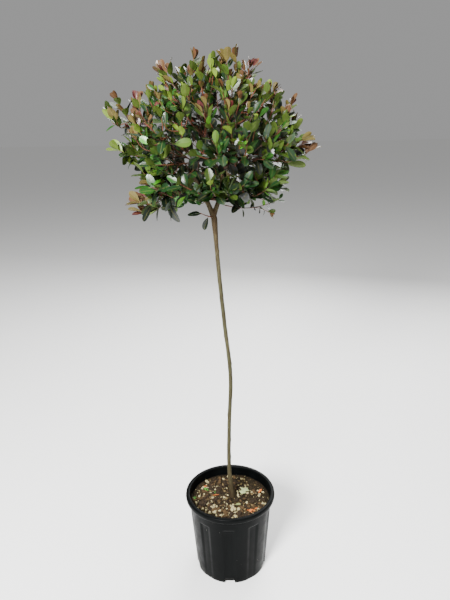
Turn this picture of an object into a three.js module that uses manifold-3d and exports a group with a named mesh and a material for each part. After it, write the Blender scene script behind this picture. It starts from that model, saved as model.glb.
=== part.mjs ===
// A standard lollipop topiary: a ball-headed evergreen shrub on one clear stem, in a black nursery pot.
// Millimetres, +Z up. The origin is the centre of the pot's flat underside, and -Y is the front.
// The stem stands on the potting mix, forks into two limbs, and the boughs that leave them each
// carry one mass of foliage. Every mass keeps to its own cone of the crown, so no two masses touch.
import * as THREE from "three";
import Module from "manifold-3d";

const wasm = await Module();
wasm.setup();

// ---- Driving dimensions ----

const GAP = 0.3; // clearance between two solids that rest on each other
const FUSE_TOLERANCE = 0.05; // slivers left by fusing are smoothed away up to this

const POT = {
  height: 278,
  rimRadius: 150,
  lipHeight: 13,
  lipRound: 3, // the bevel round the lip's edges
  neckRadius: 138.2, // outside, just under the lip
  footRadius: 118.8, // outside, at the ground
  wall: 2.6,
  floor: 4,
  grooves: 10, // shallow upright flutes pressed into the wall
  grooveTurn: -3, // degrees from the front to the first one
  grooveTop: 227,
  grooveDepthTop: 4.5,
  grooveDepthFoot: 1.2,
  grooveEdge: 8.5, // degrees either side of a groove's middle to its edge
  grooveFloor: 5.5, // degrees either side of its middle to the end of its flat
  drains: 5, // notches through the foot, one in every second groove
  drainWidth: 35,
  drainHeight: 13,
  drainReach: 22, // how far a notch runs in from the wall
};

const MIX = { top: 243, flatRadius: 26, reliefRadius: 88, relief: 3, seed: 11 };

const TRUNK = {
  // where the stem's line passes: height above the ground, then sideways and back from the pot's axis
  line: [
    [MIX.top + GAP, 9, 12],
    [350, -1, 12],
    [520, 1, 11],
    [700, 8, 10],
    [880, -8, 9],
    [1050, -22, 8],
    [1232, -33, 8],
  ],
  radius: 5.8,
  flare: 2.9, // added at the foot
  flareHeight: 70,
  headSwell: 3.0, // added where it forks
  swellFrom: 1110,
  swellTo: 1215,
  sides: 9,
  steps: 24,
};

const CROWN = {
  centre: new THREE.Vector3(-33, 0, 1430),
  radius: 258,
  rise: 218, // centre to top
  drop: 205, // centre to underside
  upperFullness: 1.75, // 2 is an ellipse, less is more pointed
  lowerFullness: 3,
  skirt: 1212, // no crown leaf hangs lower
};

// The leafless space in the middle of the crown, where the limbs and boughs run.
const HEART = { centre: new THREE.Vector3(-33, 4, 1312), radius: 70, rise: 86 };

// The two limbs of the fork: each leaves the head of the stem along lean and ends at tip.
const LIMBS = [
  { name: "limb_left", tip: [-88, -16, 1345], lean: [-40, -4, 50], foot: 6.2, end: 4.6 },
  { name: "limb_right", tip: [18, 18, 1350], lean: [34, 6, 48], foot: 5.8, end: 4.4 },
];

// The crown hangs higher in front of the fork, which shows there.
const FORK_WINDOW = { halfWidth: 32, top: 1258 };

// Rings of masses. aim is the elevation of the middle of each mass seen from the heart's centre,
// enter is the elevation where its bough reaches the edge of the heart.
const RINGS = [
  { name: "lower", count: 6, turn: 30, aim: -12, enter: -36 },
  { name: "middle", count: 7, turn: 26, aim: 33, enter: 24 },
  { name: "upper", count: 4, turn: 45, aim: 63, enter: 60 },
  { name: "top", count: 1, turn: 0, aim: 90, enter: 88 },
];

const BOUGH = { foot: 3.9, end: 2.9, sides: 5, steps: 3 };
const STEM = { foot: 2.5, end: 1.5, steps: 3 };
const TWIG = { foot: 1.9, end: 1.1, steps: 2, angle: 42, sag: 0.1 };

// tipRoom is what the last leaves take up beyond a shoot's tip, jitter its share of the crown's reach.
const SHOOTS = { count: 84, tipRoom: 42, jitter: 0.045, seed: 5 };

// Shoots that have grown out past the clipped outline: where each one's tip is.
const STRAYS = [
  [-262, -40, 1492],
  [-252, -50, 1385],
  [-222, -30, 1270],
  [208, -30, 1400],
  [-5, -20, 1597],
  [-150, 60, 1560],
  [140, 90, 1510],
];

const LEAF = {
  length: 70,
  width: 0.54, // as a share of the length
  widest: 0.66, // how far along it is widest
  thickness: 0.034, // as a share of the length
  fold: 0.13, // how far the sides stand up, as a share of the width
  perShoot: 5,
  perStem: 7,
  from: 0.34, // the lowest leaf's place along a shoot
  baseAngle: 64, // degrees from the twig, at the lowest leaf
  tipAngle: 20,
  tipShrink: 0.24,
  turn: 137.5, // from each leaf round to the next
  // what is tried for each leaf: its size, and how far it is turned about the twig, in degrees
  tries: [
    [1, 0],
    [1, 35],
    [1, -35],
    [0.8, 0],
    [0.8, 60],
    [0.8, -60],
    [0.66, 20],
  ],
};

// A small spray that springs from the left of the stem below the fork.
const LOW_SPRAY = {
  height: 1206, // where it leaves the stem
  tip: [-70, -22, 1222],
  leaves: 7,
  middle: [-78, -26, 1212], // of the ball that it keeps to
  space: 42,
};

// ---- Numbers ----

const radians = THREE.MathUtils.degToRad;
const mix = THREE.MathUtils.lerp;
const smooth = THREE.MathUtils.smoothstep;
const vector = ([x, y, z]) => new THREE.Vector3(x, y, z);
const UP = new THREE.Vector3(0, 0, 1);

// A repeatable stream of numbers from 0 to 1.
function seededRandom(seed) {
  let state = seed >>> 0;
  return () => {
    state = (state + 0x6d2b79f5) >>> 0;
    let t = Math.imul(state ^ (state >>> 15), state | 1);
    t ^= t + Math.imul(t ^ (t >>> 7), t | 61);
    return ((t ^ (t >>> 14)) >>> 0) / 4294967296;
  };
}

// A direction from its turn about +Z (0 is +X) and its elevation, in degrees.
function heading(turn, elevation) {
  const level = Math.cos(radians(elevation));
  const t = radians(turn);
  return new THREE.Vector3(level * Math.cos(t), level * Math.sin(t), Math.sin(radians(elevation)));
}

// ---- Solids ----

// A closed solid from vertices and triangles; triangles that have no area are dropped.
function solidFrom(points, triangles) {
  const index = new Map();
  const vertices = [];
  const place = points.map((p) => {
    const key = [p.x, p.y, p.z].map((v) => v.toFixed(5)).join();
    if (!index.has(key)) {
      index.set(key, vertices.length / 3);
      vertices.push(p.x, p.y, p.z);
    }
    return index.get(key);
  });
  const kept = triangles
    .map((corners) => corners.map((i) => place[i]))
    .filter(([a, b, c]) => a !== b && b !== c && c !== a);
  return new wasm.Manifold(
    new wasm.Mesh({
      numProp: 3,
      vertProperties: new Float32Array(vertices),
      triVerts: new Uint32Array(kept.flat()),
    }),
  );
}

// A solid through rings of equally many points, each ring anticlockwise seen from the last one.
function solidThroughRings(rings) {
  const n = rings[0].length;
  const triangles = [];
  for (let r = 0; r + 1 < rings.length; r++) {
    for (let i = 0; i < n; i++) {
      const a = r * n + i;
      const b = r * n + ((i + 1) % n);
      triangles.push([a, b, b + n], [a, b + n, a + n]);
    }
  }
  const last = (rings.length - 1) * n;
  for (let i = 1; i + 1 < n; i++) {
    triangles.push([0, i + 1, i], [last, last + i, last + i + 1]);
  }
  return solidFrom(rings.flat(), triangles);
}

// A tapering limb with flat ends along a path, a function from 0..1 to a point.
function limb(pathAt, radiusAt, sides, steps) {
  const rings = [];
  let across = new THREE.Vector3(1, 0.2, 0);
  for (let i = 0; i <= steps; i++) {
    const t = i / steps;
    const along = directionOf(pathAt, t);
    across = across.clone().addScaledVector(along, -across.dot(along)).normalize();
    const other = along.clone().cross(across);
    const centre = pathAt(t);
    rings.push(
      Array.from({ length: sides }, (_, k) => {
        const turn = (2 * Math.PI * k) / sides;
        return centre
          .clone()
          .addScaledVector(across, radiusAt(t) * Math.cos(turn))
          .addScaledVector(other, radiusAt(t) * Math.sin(turn));
      }),
    );
  }
  return solidThroughRings(rings);
}

function directionOf(pathAt, t) {
  const step = 0.01;
  const from = pathAt(Math.max(0, t - step));
  return pathAt(Math.min(1, t + step)).sub(from).normalize();
}

// A path that leaves a towards b and arrives at c, as a curve or, given a count, in straight steps.
function bend(a, b, c, steps = 0) {
  const curve = new THREE.QuadraticBezierCurve3(a, b, c);
  if (!steps) return (t) => curve.getPoint(t);
  return (t) => {
    const step = Math.min(Math.floor(t * steps), steps - 1);
    return curve.getPoint(step / steps).lerp(curve.getPoint((step + 1) / steps), t * steps - step);
  };
}

const largestOf = (solid) =>
  solid.decompose().reduce((best, s) => (s.volume() > best.volume() ? s : best));

// ---- Pot and potting mix ----

const grooveStep = 360 / POT.grooves;
const neckHeight = POT.height - POT.lipHeight;

// Turns round the pot at which its wall has a corner, each with its share of the grooves' depth.
const POT_CORNERS = Array.from({ length: POT.grooves }, (_, k) =>
  [
    [-POT.grooveEdge, 0],
    [-POT.grooveFloor, 1],
    [POT.grooveFloor, 1],
    [POT.grooveEdge, 0],
    [grooveStep / 2, 0],
  ].map(([offset, depth]) => [POT.grooveTurn + k * grooveStep + offset, depth]),
).flat();

// A ring of the pot's corners at one height, seen from -Y at turn 0.
function potRing(radius, height, grooveDepth = 0) {
  return POT_CORNERS.map(([turn, share]) => {
    const r = radius - grooveDepth * share;
    const t = radians(turn);
    return new THREE.Vector3(r * Math.sin(t), -r * Math.cos(t), height);
  });
}

const wallRadius = (height) => mix(POT.footRadius, POT.neckRadius, height / neckHeight);
const grooveDepth = (height) =>
  mix(POT.grooveDepthFoot, POT.grooveDepthTop, height / POT.grooveTop);

// Inside, the wall steps in below the mix's surface to clear the grooves.
const wideTo = MIX.top - 7;
const narrowTo = wideTo - 6;
const innerWide = (height) => wallRadius(height) - POT.wall;
const innerNarrow = (height) => wallRadius(height) - POT.wall - POT.grooveDepthTop;

function potSolid() {
  const { rimRadius, lipRound, height, footRadius, floor } = POT;
  const lipInside = innerWide(height);
  const rings = [
    potRing(0, 0),
    potRing(footRadius, 0, grooveDepth(0)),
    potRing(wallRadius(POT.grooveTop - 5), POT.grooveTop - 5, grooveDepth(POT.grooveTop)),
    potRing(wallRadius(POT.grooveTop), POT.grooveTop),
    potRing(POT.neckRadius, neckHeight),
    potRing(rimRadius - lipRound / 2, neckHeight),
    potRing(rimRadius, height - lipRound),
    potRing(rimRadius - lipRound, height),
    potRing(lipInside, height),
    potRing(innerWide(wideTo), wideTo),
    potRing(innerNarrow(narrowTo), narrowTo),
    potRing(innerNarrow(floor), floor),
    potRing(0, floor),
  ];
  return solidThroughRings(rings).subtract(drainNotches());
}

// Notches that taper upwards, cut in from the foot of the wall.
function drainNotches() {
  const { drainWidth, drainHeight, drainReach, footRadius } = POT;
  const half = drainWidth / 2;
  const outline = new THREE.Shape([
    new THREE.Vector2(-half - 1, -2),
    new THREE.Vector2(half + 1, -2),
    new THREE.Vector2(half - 3, drainHeight),
    new THREE.Vector2(3 - half, drainHeight),
  ]);
  const cutter = new THREE.ExtrudeGeometry(outline, { depth: drainReach + 10, bevelEnabled: false });
  cutter.rotateX(Math.PI / 2).translate(0, -(footRadius - drainReach), 0);
  const notches = Array.from({ length: POT.drains }, (_, k) => {
    const turn = POT.grooveTurn + k * (360 / POT.drains);
    return solidOfGeometry(cutter.clone().rotateZ(radians(turn)));
  });
  return wasm.Manifold.union(notches);
}

function solidOfGeometry(geometry) {
  const flat = geometry.index ? geometry.toNonIndexed() : geometry;
  const at = flat.getAttribute("position");
  const points = Array.from({ length: at.count }, (_, i) =>
    new THREE.Vector3().fromBufferAttribute(at, i),
  );
  const triangles = Array.from({ length: at.count / 3 }, (_, i) => [3 * i, 3 * i + 1, 3 * i + 2]);
  return solidFrom(points, triangles);
}

// The mix fills the pot to within the gap. Its top is level where the trunk stands and uneven round it.
function mixSolid() {
  const random = seededRandom(MIX.seed);
  const uneven = (ring) =>
    ring.map((p) => p.setZ(p.z + MIX.relief * (2 * random() - 1)));
  const foot = vector(TRUNK.line[0].slice(1).concat(0));
  const aroundFoot = (radius) =>
    potRing(radius, MIX.top).map((p) => p.add(foot));
  return solidThroughRings([
    potRing(0, POT.floor + GAP),
    potRing(innerNarrow(POT.floor) - GAP, POT.floor + GAP),
    potRing(innerNarrow(narrowTo) - GAP, narrowTo),
    potRing(innerWide(wideTo) - 2 * GAP, wideTo + GAP),
    uneven(potRing(innerWide(wideTo) - 3 * GAP, MIX.top - 1)),
    uneven(potRing(MIX.reliefRadius, MIX.top)),
    aroundFoot(MIX.flatRadius),
    aroundFoot(0),
  ]);
}

// ---- Trunk, limbs and boughs ----

const trunkCurve = new THREE.CatmullRomCurve3(
  TRUNK.line.map(([height, side, back]) => new THREE.Vector3(side, back, height)),
);
const trunkAt = (t) => trunkCurve.getPoint(t);

function trunkRadius(height) {
  const flare = TRUNK.flare * Math.exp((MIX.top - height) / TRUNK.flareHeight);
  return TRUNK.radius + flare + TRUNK.headSwell * smooth(height, TRUNK.swellFrom, TRUNK.swellTo);
}

function trunkAtHeight(height) {
  let [low, high] = [0, 1];
  while (high - low > 1e-5) {
    const middle = (low + high) / 2;
    if (trunkAt(middle).z < height) low = middle;
    else high = middle;
  }
  return trunkAt(low);
}

function trunkSolid(extra = 0) {
  const radiusAt = (t) => trunkRadius(trunkAt(t).z) + extra;
  const stem = limb(trunkAt, radiusAt, TRUNK.sides, TRUNK.steps);
  const foot = MIX.top + GAP;
  return stem.trimByPlane([0, 0, 1], foot);
}

const trunkHead = trunkAt(1);

const limbs = LIMBS.map((l) => {
  const foot = trunkHead.clone().add(new THREE.Vector3(0, 0, -6));
  const path = bend(foot, foot.clone().add(vector(l.lean)), vector(l.tip));
  const radiusAt = (t) => mix(l.foot, l.end, t);
  return { ...l, path, solid: (extra) => limb(path, (t) => radiusAt(t) + extra, 7, 5) };
});

// How far the heart or the crown reaches from its centre in a direction.
function heartReach(d) {
  return 1 / Math.hypot(Math.hypot(d.x, d.y) / HEART.radius, d.z / HEART.rise);
}

function crownReach(d) {
  const n = d.z > 0 ? CROWN.upperFullness : CROWN.lowerFullness;
  const level = Math.hypot(d.x, d.y) / CROWN.radius;
  const upright = Math.abs(d.z) / (d.z > 0 ? CROWN.rise : CROWN.drop);
  return (level ** n + upright ** n) ** (-1 / n);
}

// The masses, each with the direction of its cone and its bough from the nearer limb.
const masses = RINGS.flatMap((ring) =>
  Array.from({ length: ring.count }, (_, i) => {
    const turn = ring.turn + (360 / ring.count) * i;
    const enter = heading(turn, ring.enter);
    return {
      name: ring.count > 1 ? `${ring.name}_${i + 1}` : ring.name,
      towards: heading(turn, ring.aim),
      enter: HEART.centre.clone().addScaledVector(enter, heartReach(enter)),
    };
  }),
);

function growBoughs() {
  for (const { path } of limbs) {
    const other = limbs.find((l) => l.path !== path);
    const own = masses
      .filter((m) => m.enter.distanceTo(path(1)) < m.enter.distanceTo(other.path(1)))
      .sort((a, b) => a.enter.z - b.enter.z);
    own.forEach((m, i) => {
      const t = mix(0.22, 0.97, i / (own.length - 1));
      const start = path(t);
      const length = start.distanceTo(m.enter);
      const towards = start
        .clone()
        .lerp(m.enter, 0.45)
        .addScaledVector(directionOf(path, t), 0.2 * length);
      m.bough = bend(start, towards, m.enter);
    });
  }
}

growBoughs();

const boughSolid = (m, extra) =>
  limb(m.bough, (t) => mix(BOUGH.foot, BOUGH.end, t) + extra, BOUGH.sides, BOUGH.steps);

// Cuts each limb and bough clear of those before it, so that they meet 0.3 mm apart.
function woodSolids() {
  const nodes = [["trunk", trunkSolid()]];
  let taken = trunkSolid(GAP);
  const add = (name, solid, grown) => {
    nodes.push([name, largestOf(solid.subtract(taken))]);
    taken = taken.add(grown);
  };
  for (const l of limbs) add(l.name, l.solid(0), l.solid(GAP));
  for (const m of masses) add(`bough_${m.name}`, boughSolid(m, 0), boughSolid(m, GAP));
  return nodes;
}

// ---- Foliage ----

// The mass whose cone a point lies in, and how far inside that cone the point is.
function ownerOf(point) {
  const from = point.clone().sub(HEART.centre);
  const ranked = masses
    .map((m) => ({ m, near: m.towards.dot(from) }))
    .sort((a, b) => b.near - a.near);
  const [first, second] = ranked;
  const apart = first.m.towards.distanceTo(second.m.towards);
  return { mass: first.m, inside: (first.near - second.near) / apart };
}

const inHeart = (point, margin) => {
  const from = point.clone().sub(HEART.centre);
  const length = from.length();
  return length < heartReach(from.divideScalar(length || 1)) + margin;
};

const inFrontOfFork = (p) =>
  p.y < 0 && p.z < FORK_WINDOW.top && Math.abs(p.x - trunkHead.x) < FORK_WINDOW.halfWidth;

// Whether the masses' twigs and leaves may pass through a point.
function isOpenToLeaves(p) {
  const nearLowSpray = p.distanceTo(vector(LOW_SPRAY.middle)) < LOW_SPRAY.space + GAP;
  return p.z > CROWN.skirt && !inHeart(p, 1) && !inFrontOfFork(p) && !nearLowSpray;
}

function inCrown(point, margin) {
  const from = point.clone().sub(CROWN.centre);
  const length = from.length();
  return length < crownReach(from.divideScalar(length)) + margin;
}

// Where the shoots' tips are: evenly spread over the crown, with none under the trunk's head.
function shootTips() {
  const random = seededRandom(SHOOTS.seed);
  const tips = [];
  for (let i = 0; i < SHOOTS.count; i++) {
    const z = 1 - (2 * (i + 0.5)) / SHOOTS.count;
    const turn = radians(LEAF.turn) * i;
    const level = Math.sqrt(1 - z * z);
    const d = new THREE.Vector3(level * Math.cos(turn), level * Math.sin(turn), z);
    const reach = crownReach(d) * (1 + SHOOTS.jitter * (2 * random() - 1)) - SHOOTS.tipRoom;
    const tip = CROWN.centre.clone().addScaledVector(d, reach);
    if (tip.z > CROWN.skirt + 8 && !inHeart(tip, 40)) tips.push(tip);
  }
  return tips.concat(STRAYS.map(vector));
}

// A leaf as a folded kite of eight faces: pointed at both ends, thickest along its midrib.
function leafPoints(base, direction, face, length) {
  const across = direction.clone().cross(face);
  const half = (length * LEAF.width) / 2;
  const at = (along, sideways, up) =>
    base
      .clone()
      .addScaledVector(direction, along * length)
      .addScaledVector(across, sideways)
      .addScaledVector(face, up);
  const lift = LEAF.fold * 2 * half;
  const thick = (LEAF.thickness * length) / 2;
  return [
    at(0, 0, 0),
    at(LEAF.widest, half, lift),
    at(1, 0, -0.04 * length),
    at(LEAF.widest, -half, lift),
    at(0.42, 0, thick),
    at(0.42, 0, -thick),
  ];
}

const LEAF_FACES = [
  [0, 1, 4],
  [1, 2, 4],
  [2, 3, 4],
  [3, 0, 4],
  [1, 0, 5],
  [2, 1, 5],
  [3, 2, 5],
  [0, 3, 5],
];

// The frame of leaf number i of a shoot: it stands off the twig by an angle, turned round it, and
// its upper face looks to the shoot's tip and to the sky.
function leafPose(along, i, share, phase) {
  const side = along.clone().cross(Math.abs(along.z) > 0.9 ? new THREE.Vector3(1, 0, 0) : UP);
  side.normalize().applyAxisAngle(along, radians(phase + LEAF.turn * i));
  const angle = radians(mix(LEAF.baseAngle, LEAF.tipAngle, share));
  const direction = along
    .clone()
    .multiplyScalar(Math.cos(angle))
    .addScaledVector(side, Math.sin(angle));
  const face = along.clone().addScaledVector(UP, 0.6);
  face.addScaledVector(direction, -face.dot(direction)).normalize();
  return { direction, face };
}

// Adds a shoot's leaves to a mass, from its lowest leaf to the one at its tip. A leaf that would leave
// the mass's space or cross another leaf is turned or made smaller, and skipped if that doesn't help.
function addLeaves(mass, twig, count, from, phase, allowed) {
  for (let i = 0; i < count; i++) {
    const share = i / (count - 1);
    const t = mix(from, 1, share ** 0.8);
    const along = directionOf(twig.path, t);
    for (const [size, turn] of LEAF.tries) {
      const { direction, face } = leafPose(along, i, share, phase + turn);
      const base = twig.path(t).addScaledVector(direction, -0.5 * twig.radius(t));
      const length = size * LEAF.length * (1 - LEAF.tipShrink * share);
      const points = leafPoints(base, direction, face, length);
      if (!points.slice(1).every((p) => allowed(p))) continue;
      const leaf = solidFrom(points, LEAF_FACES);
      const middle = base.clone().addScaledVector(direction, 0.5 * length);
      if (crosses(mass, leaf, middle, twig)) continue;
      mass.leaves.push({ leaf, middle });
      break;
    }
  }
}

// Whether a leaf would cross another leaf, or any twig but its own.
const crosses = (mass, leaf, middle, ownTwig) =>
  mass.leaves.some(
    (other) => other.middle.distanceTo(middle) < LEAF.length && !other.leaf.intersect(leaf).isEmpty(),
  ) || mass.twigs.some((twig) => twig !== ownTwig && !twig.solid.intersect(leaf).isEmpty());

// The place on a stem from which a twig leaves for its tip at the usual angle.
function forkFor(stemAt, tip) {
  let best = { miss: Infinity };
  for (let t = 0.04; t < 0.9; t += 0.04) {
    const start = stemAt(t);
    const angle = directionOf(stemAt, t).angleTo(tip.clone().sub(start));
    const miss = Math.abs(angle - radians(TWIG.angle));
    if (miss < best.miss) best = { miss, t };
  }
  return best.t;
}

// One mass: a stem that grows on from the bough's tip, a twig to each shoot tip in its cone, and leaves.
function growMass(mass, tips) {
  const random = seededRandom(1000 + masses.indexOf(mass));
  const outward = directionOf(mass.bough, 1);
  const start = mass.enter.clone().addScaledVector(outward, -1);
  const aim = HEART.centre.clone().addScaledVector(mass.towards, 260).sub(CROWN.centre).normalize();
  const end = CROWN.centre.clone().addScaledVector(aim, crownReach(aim) - SHOOTS.tipRoom);
  const bendAt = start.clone().addScaledVector(outward, 0.4 * start.distanceTo(end));
  const stemAt = bend(start, bendAt, end, STEM.steps);
  const stem = twigAlong(stemAt, STEM);
  stem.solid = stem.solid.trimByPlane(outward.toArray(), outward.dot(mass.enter) + GAP);
  mass.twigs = [stem];
  mass.leaves = [];
  const allowed = (p) => {
    const { mass: owner, inside } = ownerOf(p);
    return owner === mass && inside > GAP && isOpenToLeaves(p);
  };
  const shoots = [];
  for (const tip of tips) {
    const fork = forkFor(stemAt, tip);
    const from = stemAt(fork);
    const length = from.distanceTo(tip);
    const middle = from.clone().lerp(tip, 0.5).addScaledVector(UP, -TWIG.sag * length);
    middle.addScaledVector(directionOf(stemAt, fork), 0.1 * length);
    const shoot = twigAlong(bend(from, middle, tip, TWIG.steps), TWIG);
    const stray = !inCrown(tip, 10 - SHOOTS.tipRoom);
    if (![0.25, 0.5, 0.75, 1].every((t) => allowed(shoot.path(t)))) continue;
    mass.twigs.push(shoot);
    shoots.push([shoot, 360 * random(), (p) => allowed(p) && (stray || inCrown(p, 6))]);
  }
  for (const [shoot, phase, fits] of shoots) {
    addLeaves(mass, shoot, LEAF.perShoot, LEAF.from, phase, fits);
  }
  addLeaves(mass, stem, LEAF.perStem, 0.2, 360 * random(), (p) => allowed(p) && inCrown(p, 6));
  return fuse(mass);
}

function twigAlong(path, { foot, end, steps }) {
  const radius = (t) => mix(foot, end, t);
  return { path, radius, solid: limb(path, radius, 3, steps) };
}

// The twigs and leaves as one solid, without any leaf that didn't reach its twig.
function fuse({ twigs, leaves }) {
  const pieces = twigs.map(({ solid }) => solid).concat(leaves.map(({ leaf }) => leaf));
  return largestOf(wasm.Manifold.union(pieces).simplify(FUSE_TOLERANCE));
}

// The small spray on the stem's left, below the crown.
function growLowSpray() {
  const tip = vector(LOW_SPRAY.tip);
  const axis = trunkAtHeight(LOW_SPRAY.height);
  const out = tip.clone().sub(axis).setZ(0).normalize();
  const start = axis.clone().addScaledVector(out, trunkRadius(axis.z) + GAP + 0.2);
  const stemAt = bend(start, start.clone().lerp(tip, 0.5).addScaledVector(UP, -3), tip, STEM.steps);
  const stem = twigAlong(stemAt, { ...TWIG, steps: STEM.steps });
  const mass = { twigs: [stem], leaves: [] };
  const allowed = (p) => p.distanceTo(vector(LOW_SPRAY.middle)) < LOW_SPRAY.space;
  addLeaves(mass, stem, LOW_SPRAY.leaves, 0.3, 90, allowed);
  return fuse(mass);
}

function foliageSolids() {
  const tips = shootTips();
  const nodes = masses.map((m) => [
    `foliage_${m.name}`,
    growMass(m, tips.filter((tip) => ownerOf(tip).mass === m)),
  ]);
  return nodes.concat([["foliage_low_spray", growLowSpray()]]);
}

// ---- The assembly ----

const MATERIALS = {
  pot: new THREE.MeshStandardMaterial({ color: 0x1c1e1d, roughness: 0.55, metalness: 0 }),
  mix: new THREE.MeshStandardMaterial({ color: 0x4a3a28, roughness: 0.95, metalness: 0 }),
  bark: new THREE.MeshStandardMaterial({ color: 0x5f5640, roughness: 0.85, metalness: 0 }),
  leaf: new THREE.MeshStandardMaterial({ color: 0x35491f, roughness: 0.4, metalness: 0 }),
};

function meshOf(name, solid, material) {
  const { numProp, vertProperties, triVerts } = solid.getMesh();
  const geometry = new THREE.BufferGeometry();
  if (numProp !== 3) throw new Error(`${name} has more than positions`);
  geometry.setAttribute("position", new THREE.BufferAttribute(vertProperties, 3));
  geometry.setIndex(new THREE.BufferAttribute(triVerts, 1));
  geometry.computeVertexNormals();
  const mesh = new THREE.Mesh(geometry, material);
  mesh.name = name;
  return mesh;
}

const topiary = new THREE.Group();
topiary.name = "standard_lollipop_topiary";
topiary.add(meshOf("pot", potSolid(), MATERIALS.pot));
topiary.add(meshOf("potting_mix", mixSolid(), MATERIALS.mix));
for (const [name, solid] of woodSolids()) topiary.add(meshOf(name, solid, MATERIALS.bark));
for (const [name, solid] of foliageSolids()) topiary.add(meshOf(name, solid, MATERIALS.leaf));

export default topiary;
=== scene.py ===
"""A standard lollipop topiary: a ball-headed evergreen shrub on one clear stem, in a black nursery pot."""
import math

import bmesh
import bpy
import numpy as np
from bpy.props import FloatProperty, FloatVectorProperty, IntProperty, PointerProperty
from mathutils import Euler, Matrix, Vector, noise


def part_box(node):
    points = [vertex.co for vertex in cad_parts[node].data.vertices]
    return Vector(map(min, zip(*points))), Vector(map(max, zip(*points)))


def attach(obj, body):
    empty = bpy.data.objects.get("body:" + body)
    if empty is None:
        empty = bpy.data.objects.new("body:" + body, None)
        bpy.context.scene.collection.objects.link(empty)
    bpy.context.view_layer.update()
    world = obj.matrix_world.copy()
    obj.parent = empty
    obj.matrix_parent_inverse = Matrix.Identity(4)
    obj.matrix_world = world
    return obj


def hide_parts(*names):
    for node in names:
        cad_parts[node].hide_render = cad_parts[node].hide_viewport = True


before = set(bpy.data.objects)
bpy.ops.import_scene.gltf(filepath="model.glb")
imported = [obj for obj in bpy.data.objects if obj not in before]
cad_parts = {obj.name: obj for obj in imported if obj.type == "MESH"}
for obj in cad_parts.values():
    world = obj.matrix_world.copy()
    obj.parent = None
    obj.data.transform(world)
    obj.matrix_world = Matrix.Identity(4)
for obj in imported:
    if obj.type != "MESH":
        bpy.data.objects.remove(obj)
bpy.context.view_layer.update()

bl_info = {
    "name": "Lollipop Topiary",
    "version": (1, 0, 0),
    "blender": (4, 5, 0),
    "location": "3D Viewport > Sidebar > Topiary",
    "description": "Grows a potted standard lollipop topiary, leaf by leaf",
    "category": "Add Mesh",
}

MM = 0.001
BODY = "root"
POT_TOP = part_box("pot")[1][2]
NODES = sorted(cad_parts)
FOLIAGE_NODES = [name for name in NODES if name.startswith("foliage")]
WOOD_NODES = [name for name in NODES if name.startswith(("trunk", "limb", "bough"))]

# ---- The plant's growth, in millimetres: the rule that its solids are grown by ----

MIX_TOP = 243
GAP = 0.3  # the stem stands this far above the mix, and a twig keeps this far inside its mass's cone
TRUNK_LINE = (
    (MIX_TOP + GAP, 9, 12),
    (350, -1, 12),
    (520, 1, 11),
    (700, 8, 10),
    (880, -8, 9),
    (1050, -22, 8),
    (1232, -33, 8),
)
TRUNK_RADIUS = 5.8
TRUNK_FLARE = 2.9
FLARE_HEIGHT = 70
HEAD_SWELL = 3.0
SWELL_FROM, SWELL_TO = 1110, 1215

CROWN_CENTRE = np.array((-33.0, 0.0, 1430.0))
CROWN_RADIUS, CROWN_RISE, CROWN_DROP = 258, 218, 205
UPPER_FULLNESS, LOWER_FULLNESS = 1.75, 3
CROWN_SKIRT = 1212
HEART_CENTRE = np.array((-33.0, 4.0, 1312.0))
HEART_RADIUS, HEART_RISE = 70, 86
FORK_WINDOW_HALF_WIDTH, FORK_WINDOW_TOP, FORK_WINDOW_RISE = 30, 1250, 0.12

# The fork's two limbs: tip, lean, and radius at the foot and at the end.
LIMBS = (
    ((-88, -16, 1345), (-40, -4, 50), 6.2, 4.6),
    ((18, 18, 1350), (34, 6, 48), 5.8, 4.4),
)
LIMB_DROP = 6

# Rings of masses, upwards: count, turn, elevation of each mass, elevation where its bough enters it.
RINGS = (
    (6, 30, -12, -36),
    (7, 26, 33, 24),
    (4, 45, 63, 60),
    (1, 0, 90, 88),
)
BOUGH_FOOT, BOUGH_END = 3.9, 2.9
BOUGHS_FROM, BOUGHS_TO = 0.22, 0.97  # the shares of a limb where its first and its last bough leave it
BOUGH_LEAD, BOUGH_MIDDLE = 0.2, 0.45
MASS_AIM, STEM_LEAD = 260, 0.4
TWIG_ANGLE, TWIG_SAG, TWIG_LEAD = 42, 0.1, 0.1
TWIG_STEP, TWIG_LAST = 0.04, 0.9  # where along a stem a place for a twig is looked for
SHOOT_COUNT, TIP_ROOM, TIP_JITTER, SHOOT_SEED = 84, 42, 0.045, 5
SKIRT_ROOM, HEART_ROOM, STRAY_ROOM = 8, 40, 10
GOLDEN_TURN = 137.5
MASS_SEED, SIDE_SEED = 1000, 5000
# Shoot tips that stand out past the clipped outline.
STRAYS = (
    (-262, -40, 1492),
    (-252, -50, 1385),
    (-222, -30, 1270),
    (208, -30, 1400),
    (-5, -20, 1597),
    (-150, 60, 1560),
    (140, 90, 1510),
)
LIFT_FROM, LIFT_TO = 1290, 1480  # between these heights shoots change from spreading to rising
SIDE_OUT, SIDE_UP, SIDE_FROM = (24, 60), (-50, 4), (0.25, 0.7)
SIDE_JITTER, SIDE_MARGINS, SIDE_OVERLAP = 50, (-28, -18), 10
LEADER_TOP, LEADER_UP, LEADER_OUT, LEADER_FROM = 1622, (18, 44), 10, 0.75
INNER_SHOOTS, INNER_OVERLAP = 5, 14
INNER_OUT, INNER_ALONG, INNER_FROM = (34, 62), (20, 50), (0.02, 0.4)
LEAF_SKIRT = 1190
LOW_SPRAY_HEIGHT = 1206
LOW_SPRAY_TIP = np.array((-70.0, -22.0, 1222.0))
SIDE_SPRAY = np.array(((62.0, -14.0, 1212.0), (152.0, -24.0, 1256.0)))
CROTCH_DROP, CROTCH_SHARE = 22, 0.3  # how far, and along how much of them, the limbs sink into the stem
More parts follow.
